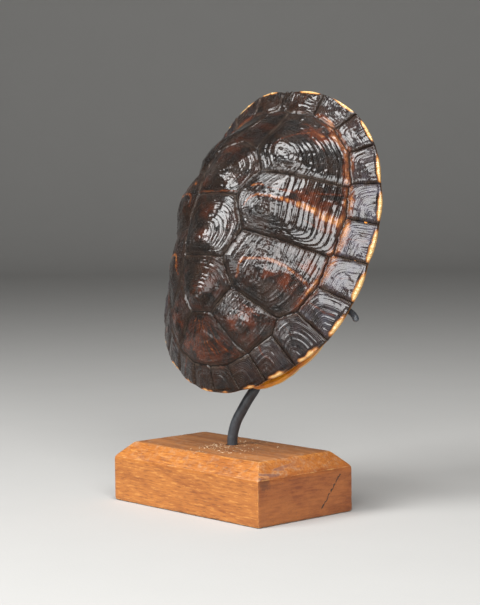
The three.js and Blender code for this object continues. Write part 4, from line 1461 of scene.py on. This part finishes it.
def horn_colour(sheet, settings, seam, ridge, under, above, beside_seam, stripes, painted_sheen_haze):
    """The horn's colours, laid one over the other from the ground up."""
    colour = sheet.effect(
        mottle(), "Colour", Dark=settings.horn_black, Light=settings.horn_brown, Scale=70.0, Balance=0.56
    )
    flecks = sheet.effect(mottle(), "Mask", Scale=420.0, Balance=0.6, Stretch=(1.0, 1.0, 0.35))
    colour = sheet.cover(colour, settings.horn_brown, flecks, 0.35)
    # Lays on the painted sheen, a painted reflection
    colour = sheet.cover(colour, settings.painted_sheen_grey, painted_sheen_haze, 0.8)
    rust_cloud = sheet.patches(130.0, 0.36, 0.62, detail=5.0, roughness=0.62, distortion=0.6)
    colour = sheet.cover(colour, settings.russet, sheet.value("russet"), rust_cloud)
    brown_cloud = sheet.patches(240.0, 0.3, 0.65, roughness=0.6)
    colour = sheet.cover(colour, settings.horn_brown, beside_seam, brown_cloud)
    amber_cloud = sheet.patches(300.0, 0.22, 0.62, 0.35, 1.0, detail=5.0, roughness=0.65)
    gaps = sheet.times(beside_seam, sheet.between(stripes, 0.6, 0.1, 0.0, 0.45))
    # Amber is weaker in the grooves between growth ridges: painted shade in the grooves
    amber_out_of_groove_shade = sheet.between(ridge, 0.0, 0.4, 0.62, 1.0)
    amber = sheet.times(sheet.value("amber"), amber_cloud, amber_out_of_groove_shade, sheet.minus(1.0, gaps))
    colour = sheet.cover(colour, settings.russet, sheet.between(amber, 0.04, 0.4, 0.0, 0.85))
    colour = sheet.cover(colour, settings.amber, sheet.between(amber, 0.3, 0.85, 0.0, 0.9))
    cream = sheet.times(sheet.value("cream"), sheet.patches(190.0, 0.22, 0.5, 0.5, 1.0, roughness=0.6))
    colour = sheet.cover(colour, settings.amber, sheet.between(cream, 0.05, 0.45))
    colour = sheet.cover(colour, settings.cream, sheet.between(cream, 0.35, 0.85))
    colour = sheet.cover(colour, settings.horn_brown, ridge, 0.12)
    specks = sheet.effect(pores(), "Mask", Scale=560.0, Amount=0.4)
    colour = sheet.cover(colour, settings.seam_grey, specks, above)
    blotch = sheet.patches(62.0, 0.54, 0.6, detail=3.0, roughness=0.5)
    colour = sheet.cover(colour, sheet.mix(blotch, settings.belly_amber, settings.horn_brown), under, 0.85)
    pale = sheet.times(sheet.between(seam, 1.5, 0.5), sheet.between(stripes, 0.2, 0.8))
    pale_cloud = sheet.patches(120.0, 0.4, 0.62, roughness=0.6)
    colour = sheet.cover(colour, settings.seam_grey, pale, pale_cloud, above)
    return sheet.cover(colour, SEAM_BLACK, sheet.between(seam, 0.38, 0.12))


def belly_horn(settings):
    """Amber horn with dark blotches outside, orange to bone inside, and a cream lip."""
    material, sheet, shader = new_material("belly_horn")
    inner, rim_gap, seam = sheet.value("inner"), sheet.value("rim_gap"), sheet.value("seam")
    outside = sheet.effect(
        mottle(), "Colour", Dark=settings.horn_brown, Light=settings.belly_amber, Scale=34.0, Balance=0.47
    )
    orange = sheet.effect(
        mottle(), "Colour", Dark=INNER_ORANGE_DARK, Light=INNER_ORANGE_LIGHT, Scale=60.0, Balance=0.5
    )
    bone = sheet.effect(
        mottle(), "Colour", Dark=INNER_BONE_DARK, Light=settings.bone, Scale=110.0, Balance=0.48
    )
    wavered_gap = sheet.minus(rim_gap, sheet.times(sheet.noise(60.0), 14.0))
    colour = sheet.mix(inner, outside, sheet.mix(sheet.between(wavered_gap, 16.0, 34.0), orange, bone))
    colour = sheet.cover(colour, settings.cream, sheet.between(sheet.apart(inner, 0.3), 0.3, 0.15))
    colour = sheet.cover(colour, settings.horn_brown, sheet.between(seam, 0.7, 0.15), 0.8)
    lines = sheet.effect(fine_lines(), "Height", Phase=sheet.value("growth"), Lines=2.0, Waver_Scale=110.0)
    height = sheet.plus(sheet.times(lines, 0.4), sheet.times(sheet.noise(700.0, 5.0, 0.65), 0.5))
    roughness = sheet.plus(sheet.patches(240.0, 0.3, 0.7, 0.26, 0.46, detail=5.0), sheet.times(inner, 0.12))
    finish_surface(sheet, shader, colour, roughness, height, 0.0002)
    varnish(sheet, shader, 0.25, 0.25)
    return material


def bare_bone(settings):
    """Dull bone with sutures and pores."""
    material, sheet, shader = new_material("bare_bone")
    colour = sheet.effect(mottle(), "Colour", Dark=BONE_DARK, Light=settings.bone, Scale=90.0, Balance=0.46)
    pits = sheet.effect(pores(), "Mask", Scale=700.0, Amount=1.0)
    colour = sheet.cover(colour, PORE_BROWN, pits, 0.6)
    suture = sheet.add("TexVoronoi", {"Vector": sheet.place(), "Scale": 44.0}, feature="DISTANCE_TO_EDGE")
    crack = sheet.between(sheet.plus(suture, sheet.times(sheet.noise(600.0), 0.05)), 0.05, 0.025)
    colour = sheet.cover(colour, SUTURE_BROWN, crack, 0.55)
    colour = sheet.cover(colour, settings.belly_amber, sheet.between(sheet.value("rim_gap"), 13.0, 9.0), 0.6)
    height = sheet.minus(sheet.noise(800.0, 6.0, 0.7), sheet.times(crack, 0.8))
    height = sheet.minus(height, sheet.times(pits, 0.6))
    finish_surface(sheet, shader, colour, sheet.patches(300.0, 0.3, 0.7, 0.55, 0.8), height, 0.0003)
    return material


def rod_paint(settings):
    """Satin black paint, rubbed at the tips and the weld."""
    material, sheet, shader = new_material("rod_paint")
    colour = sheet.effect(
        mottle(), "Colour", Dark=settings.paint, Light=PAINT_LIGHT, Scale=240.0, Balance=0.56
    )
    rubbed = sheet.effect(rubbed_edges(), "Mask", Edge=sheet.value("edge"), Amount=0.0, Scale=900.0)
    scratches = sheet.effect(mottle(), "Mask", Scale=500.0, Balance=0.78, Stretch=(1.0, 1.0, 0.12))
    worn = sheet.math("MAXIMUM", rubbed, sheet.times(scratches, 0.6))
    colour = sheet.cover(colour, settings.bare_steel, worn)
    dust = sheet.effect(settled_dust(), "Mask", Amount=0.3, Scale=700.0)
    colour = sheet.cover(colour, PAINT_DUST, dust)
    roughness = sheet.plus(sheet.patches(500.0, 0.3, 0.7, 0.3, 0.46, detail=5.0), dust)
    finish_surface(sheet, shader, colour, roughness, sheet.noise(750.0, 3.0, 0.5), 0.00012)
    sheet.join(sheet.times(worn, 0.7), shader.inputs["Metallic"])
    return material


# Across the growth rings, metres between them, and how far out the dark streak of the front face lies
RING_SLOPE = (0.2755, 0.1, 0.961)
RING_GAP = 0.0215
STREAK_PLACE = 0.0222
# The crack in the right end, in metres: where it starts, its way down, the way across it and its length
CRACK_START = (0.0, 0.0315, 0.0264)
CRACK_WAY = (0.0, -0.645, -0.764)
CRACK_SIDE = (0.0, 0.764, -0.645)
CRACK_LENGTH = 0.0287
# The dark stain beside the near corner of the right end
STAIN_PLACE = (0.07275, -0.036, 0.028)


def end_crack(sheet, end):
    """A ragged drying crack in the right end of the block."""
    from_start = sheet.vector("SUBTRACT", sheet.place(), CRACK_START)
    along = sheet.vector("DOT_PRODUCT", from_start, CRACK_WAY, output=1)
    aside = sheet.vector("DOT_PRODUCT", from_start, CRACK_SIDE, output=1)
    ragged = sheet.times(sheet.minus(sheet.noise(260.0, 5.0, 0.7), 0.5), 0.0045)
    aside = sheet.math("ABSOLUTE", sheet.plus(aside, ragged))
    width = sheet.between(aside, 0.0008, 0.0002)
    reach = sheet.between(along, CRACK_LENGTH, CRACK_LENGTH - 0.002)
    reach = sheet.times(reach, sheet.between(along, 0.0, 0.001))
    right_end = sheet.between(sheet.axis(sheet.place(), 0), 0.0, 0.01)
    return sheet.times(width, reach, sheet.patches(520.0, 0.36, 0.52, 0.25, 1.0, detail=3.0), end, right_end)


def sawn_grain(sheet, settings, fibres):
    """The wood of the long faces: growth rings, a dark streak, fibres and short flecks."""
    across = sheet.vector("DOT_PRODUCT", sheet.place(), RING_SLOPE, output=1)
    across = sheet.plus(across, sheet.times(sheet.noise(1.2, 3.0, stretch=(8, 20, 20)), 0.016))
    rings = sheet.math("SINE", sheet.times(across, 2 * math.pi / RING_GAP))
    cloud = sheet.effect(mottle(), "Mask", Scale=30.0, Balance=0.5, Stretch=(0.45, 1.0, 1.0))
    streak = sheet.between(sheet.apart(across, STREAK_PLACE), 0.0026, 0.0, 0.0, 0.38)
    tone = sheet.plus(sheet.between(rings, 0.55, 1.0, 0.0, 0.22), sheet.times(cloud, 0.25))
    tone = sheet.plus(tone, sheet.between(fibres, 0.35, 0.75, 0.0, 0.45), streak)
    colour = sheet.mix(tone, settings.light_wood, settings.dark_wood)
    short = sheet.noise(820.0, 3.0, 0.6, stretch=(0.14, 1, 1))
    colour = sheet.cover(colour, GRAIN_DARK, sheet.between(short, 0.54, 0.66, 0.0, 0.6))
    return sheet.cover(colour, GRAIN_LIGHT, sheet.between(short, 0.45, 0.33, 0.0, 0.5))


def end_grain(sheet, settings, colour, end):
    """The sawn ends with their stain and crack, laid over the colour of the long faces."""
    lines = sheet.patches(1.5, 0.38, 0.62, detail=5.0, roughness=0.7, stretch=(30, 60, 420))
    end_colour = sheet.mix(lines, settings.end_wood, END_DARK)
    patch = sheet.effect(mottle(), "Mask", Scale=38.0, Balance=0.5, Stretch=(1.0, 0.8, 1.4))
    colour = sheet.cover(colour, sheet.cover(end_colour, END_LIGHT, patch, 0.55), end, 0.9)
    from_stain = sheet.vector("DISTANCE", sheet.place(), STAIN_PLACE, output=1)
    ragged = sheet.plus(from_stain, sheet.times(sheet.noise(300.0, 5.0, 0.7), 0.012))
    colour = sheet.cover(colour, STAIN_BROWN, sheet.between(ragged, 0.0125, 0.0085, 0.0, 0.6), end)
    return sheet.cover(colour, CRACK_BLACK, end_crack(sheet, end))


def chamfer_islands(sheet, colour, facing_x):
    """Grey islands with pale outlines on the near half of the end bevels."""
    chamfer = sheet.times(sheet.between(facing_x, 0.5, 0.65), sheet.between(facing_x, 0.85, 0.75))
    near = sheet.times(chamfer, sheet.between(sheet.axis(sheet.place(), 1), 0.012, -0.03))
    islands = sheet.noise(95.0, 4.0, 0.55, 0.9, (1.5, 0.42, 1.5))
    colour = sheet.cover(colour, ISLAND_GREY, near, sheet.between(islands, 0.46, 0.53), 0.7)
    outline = sheet.between(sheet.apart(islands, 0.5), 0.03, 0.006)
    return sheet.cover(colour, ISLAND_EDGE, near, outline, 0.55)


def hardwood(settings):
    """Oiled hardwood sawn along the grain, paler on the rubbed arrises and redder on its ends, with painted
    shade on its top and in its drilled hole.
    """
    material, sheet, shader = new_material("hardwood")
    facing_x = sheet.math("ABSOLUTE", sheet.facing(0))
    fibres = sheet.noise(4.0, 5.0, 0.7, stretch=(9, 240, 240))
    colour = sawn_grain(sheet, settings, fibres)
    colour = end_grain(sheet, settings, colour, sheet.between(facing_x, 0.55, 0.9))
    colour = chamfer_islands(sheet, colour, facing_x)
    # The top is painted darker than the sides: painted shade on the face that looks up
    broad = sheet.patches(1.0, 0.42, 0.6, detail=3.0, roughness=0.6, distortion=0.4, stretch=(12, 90, 90))
    painted_top_shade = sheet.mix(broad, TOP_SHADE_PALE, TOP_SHADE_DEEP)
    colour = sheet.cover(colour, painted_top_shade, sheet.between(sheet.facing(2), 0.8, 0.98), 0.7)
    flecks = sheet.effect(pores(), "Mask", Scale=620.0, Amount=1.0, Stretch=(0.2, 1.0, 1.0))
    colour = sheet.cover(colour, PORE_DARK, flecks, 0.4)
    worn = sheet.effect(rubbed_edges(), "Mask", Edge=sheet.value("edge"), Amount=-0.1, Scale=110.0)
    colour = sheet.cover(colour, WORN_WOOD, worn, 0.6)
    dust = sheet.effect(settled_dust(), "Mask", Amount=0.35, Scale=260.0)
    colour = sheet.cover(colour, WOOD_DUST, dust)
    # The wall of the drilled hole is painted dark: painted shade in the hole
    colour = sheet.cover(colour, BORE_PAINTED_SHADE, sheet.value("bore"))
    height = sheet.minus(sheet.times(fibres, -0.6), sheet.times(flecks, 0.6))
    height = sheet.plus(height, sheet.times(sheet.noise(900.0), 0.3))
    roughness = sheet.plus(sheet.between(fibres, 0.3, 0.7, 0.36, 0.52), sheet.times(dust, 0.4))
    finish_surface(sheet, shader, colour, roughness, height, 0.00025)
    varnish(sheet, shader, 0.12, 0.35)
    return material


def sawdust():
    """Pale crumbs of wood."""
    material, sheet, shader = new_material("sawdust")
    colour = sheet.mix(sheet.value("edge"), CRUMB_DARK, CRUMB_LIGHT)
    colour = sheet.cover(colour, CRUMB_BROWN, sheet.patches(900.0, 0.4, 0.7))
    roughness = sheet.patches(1500.0, 0.3, 0.7, 0.75, 0.95)
    finish_surface(sheet, shader, colour, roughness, sheet.noise(2500.0), 0.0001)
    return material


def floor_paper(settings):
    """Plain pale paper."""
    material, sheet, shader = new_material("floor_paper")
    darker = tuple(part * 0.96 for part in settings.floor[:3]) + (1,)
    colour = sheet.mix(sheet.noise(14.0), settings.floor, darker)
    finish_surface(sheet, shader, colour, 0.85, sheet.noise(500.0), 0.0001)
    return material


# Lights: name, where it stands in metres, its size and the setting that holds its power
LIGHT_AIM = (0.0, 0.0, 0.15)
LIGHTS = (
    ("key_light", (-0.33, -1.15, 1.09), (0.75, 0.75), "key_power"),
    ("side_light", (1.19, -0.57, 0.88), (0.5, 0.9), "side_power"),
    ("front_light", (0.80, -0.98, 0.98), (0.4, 0.4), "front_power"),
    ("top_light", (0.2, -0.16, 1.35), (0.5, 0.5), "top_power"),
    ("low_light", (0.2, -1.35, 0.33), (1.1, 0.4), "low_power"),
)


def add_light(name, place, size, power):
    """A soft rectangular light that looks at the object."""
    light = bpy.data.lights.new(name, "AREA")
    light.shape = "RECTANGLE"
    light.size, light.size_y = size
    light.energy = power
    lamp = bpy.data.objects.new(name, light)
    lamp.location = place
    lamp.visible_camera = False
    lamp.rotation_euler = (Vector(LIGHT_AIM) - Vector(place)).to_track_quat("-Z", "Y").to_euler()
    bpy.context.scene.collection.objects.link(lamp)


def add_camera():
    """The camera where the photograph was taken, the block's middle being the origin."""
    azimuth, elevation, roll = (math.radians(a) for a in (CAMERA_AZIMUTH, CAMERA_ELEVATION, CAMERA_ROLL))
    level = math.cos(elevation)
    back = Vector((math.sin(azimuth) * level, -math.cos(azimuth) * level, math.sin(elevation)))
    right = Vector((math.cos(azimuth), math.sin(azimuth), 0))
    up = back.cross(right)
    turned_right = right * math.cos(roll) + up * math.sin(roll)
    turned_up = up * math.cos(roll) - right * math.sin(roll)
    lens = bpy.data.cameras.new("camera")
    lens.sensor_width = SENSOR
    lens.lens = FOCAL_PIXELS / PICTURE_HEIGHT * SENSOR
    camera = bpy.data.objects.new("camera", lens)
    turn = Matrix((turned_right, turned_up, back)).transposed().to_4x4()
    camera.matrix_world = Matrix.Translation(CAMERA_PLACE) @ turn
    bpy.context.scene.collection.objects.link(camera)
    bpy.context.scene.camera = camera


def add_floor(settings):
    """A floor that sweeps up behind the object."""
    profile = [(-1.6, 0.0), (2.4, 0.0)]
    for k in range(1, 13):
        angle = math.pi / 2 * k / 12
        profile.append((2.4 + 0.8 * math.sin(angle), 0.8 - 0.8 * math.cos(angle)))
    profile.append((3.2, 2.4))
    away = Vector(CAMERA_PLACE) * -1
    away.z = 0
    away.normalize()
    side = Vector((-away.y, away.x, 0))
    points = [away * d + side * s * 3 + Vector((0, 0, h - 0.0002)) for s in (-1, 1) for d, h in profile]
    count = len(profile)
    faces = [(k, k + 1, count + k + 1, count + k) for k in range(count - 1)]
    mesh = bpy.data.meshes.new("floor")
    mesh.from_pydata(points, [], faces)
    mesh.shade_smooth()
    mesh.materials.append(floor_paper(settings))
    floor = bpy.data.objects.new("floor", mesh)
    bpy.context.scene.collection.objects.link(floor)


class TURTLE_OT_back_scutes(bpy.types.Operator):
    """Make the horn scutes of the back, one plate each, and the rim's folded edge"""

    bl_idname = "turtle.back_scutes"
    bl_label = "Back scutes"

    def execute(self, context):
        settings = context.scene.turtle_shell
        horn = scute_horn(settings)
        keel_scutes(settings).piece("vertebral_scutes", horn, "shell", "horn")
        flank_scutes(settings).piece("costal_scutes", horn, "shell", "horn")
        rim_scutes(settings).piece("marginal_scutes", horn, "shell", "horn")
        return {"FINISHED"}


class TURTLE_OT_shell_bone(bpy.types.Operator):
    """Make the bone under the back scutes"""

    bl_idname = "turtle.shell_bone"
    bl_label = "Shell bone"

    def execute(self, context):
        shell_bone().piece("shell_bone", bare_bone(context.scene.turtle_shell), "shell", "horn")
        return {"FINISHED"}


class TURTLE_OT_belly_plate(bpy.types.Operator):
    """Make the belly plate and its bridges to the rim"""

    bl_idname = "turtle.belly_plate"
    bl_label = "Belly plate"

    def execute(self, context):
        settings = context.scene.turtle_shell
        belly_plate().piece("plastron", belly_horn(settings), "shell", "horn")
        return {"FINISHED"}


class TURTLE_OT_steel_cradle(bpy.types.Operator):
    """Make the bent steel rods that hold the shell"""

    bl_idname = "turtle.steel_cradle"
    bl_label = "Steel cradle"

    def execute(self, context):
        settings = context.scene.turtle_cradle
        cradle_rod(settings).piece("cradle_rod", rod_paint(settings), "steel_cradle", "black_steel")
        return {"FINISHED"}


class TURTLE_OT_wooden_block(bpy.types.Operator):
    """Make the bevelled block and the sawdust on it"""

    bl_idname = "turtle.wooden_block"
    bl_label = "Wooden block"

    def execute(self, context):
        settings = context.scene.turtle_block
        wooden_block(settings).piece("bevelled_block", hardwood(settings), "wooden_block", "hardwood")
        crumbs = sawdust_specks(settings).piece("sawdust_specks", sawdust(), "wooden_block", "hardwood")
        crumbs.data.shade_flat()
        return {"FINISHED"}


class TURTLE_OT_stage(bpy.types.Operator):
    """Set up the floor, the lights and the camera"""

    bl_idname = "turtle.stage"
    bl_label = "Stage"

    def execute(self, context):
        settings = context.scene.turtle_stage
        add_camera()
        add_floor(settings)
        for name, place, size, power in LIGHTS:
            add_light(name, place, size, getattr(settings, power))
        world = bpy.data.worlds.new("studio")
        world.use_nodes = True
        background = world.node_tree.nodes["Background"]
        background.inputs["Color"].default_value = (1.0, 0.98, 0.95, 1)
        background.inputs["Strength"].default_value = settings.sky
        context.scene.world = world
        context.scene.view_settings.view_transform = "Standard"
        return {"FINISHED"}


OPERATORS = (
    TURTLE_OT_stage, TURTLE_OT_back_scutes, TURTLE_OT_shell_bone, TURTLE_OT_belly_plate,
    TURTLE_OT_steel_cradle, TURTLE_OT_wooden_block,
)
SETTINGS = {
    "turtle_shell": ShellSettings, "turtle_cradle": CradleSettings, "turtle_block": BlockSettings,
    "turtle_stage": StageSettings,
}


class TURTLE_PT_panel(bpy.types.Panel):
    """Lists the steps that build the shell and its stand"""

    bl_idname = "TURTLE_PT_panel"
    bl_label = "Turtle Shell"
    bl_space_type = "VIEW_3D"
    bl_region_type = "UI"
    bl_category = "Turtle Shell"

    def draw(self, context):
        for operator in OPERATORS:
            self.layout.operator(operator.bl_idname)


def register():
    for settings in SETTINGS.values():
        bpy.utils.register_class(settings)
    for name, settings in SETTINGS.items():
        setattr(bpy.types.Scene, name, bpy.props.PointerProperty(type=settings))
    for part in (*OPERATORS, TURTLE_PT_panel):
        bpy.utils.register_class(part)


def unregister():
    for part in (TURTLE_PT_panel, *reversed(OPERATORS)):
        bpy.utils.unregister_class(part)
    for name, settings in SETTINGS.items():
        delattr(bpy.types.Scene, name)
        bpy.utils.unregister_class(settings)


def main():
    register()
    bpy.ops.turtle.stage()
    bpy.ops.turtle.back_scutes()
    bpy.ops.turtle.shell_bone()
    bpy.ops.turtle.belly_plate()
    bpy.ops.turtle.steel_cradle()
    bpy.ops.turtle.wooden_block()


if __name__ == "__main__":
    main()
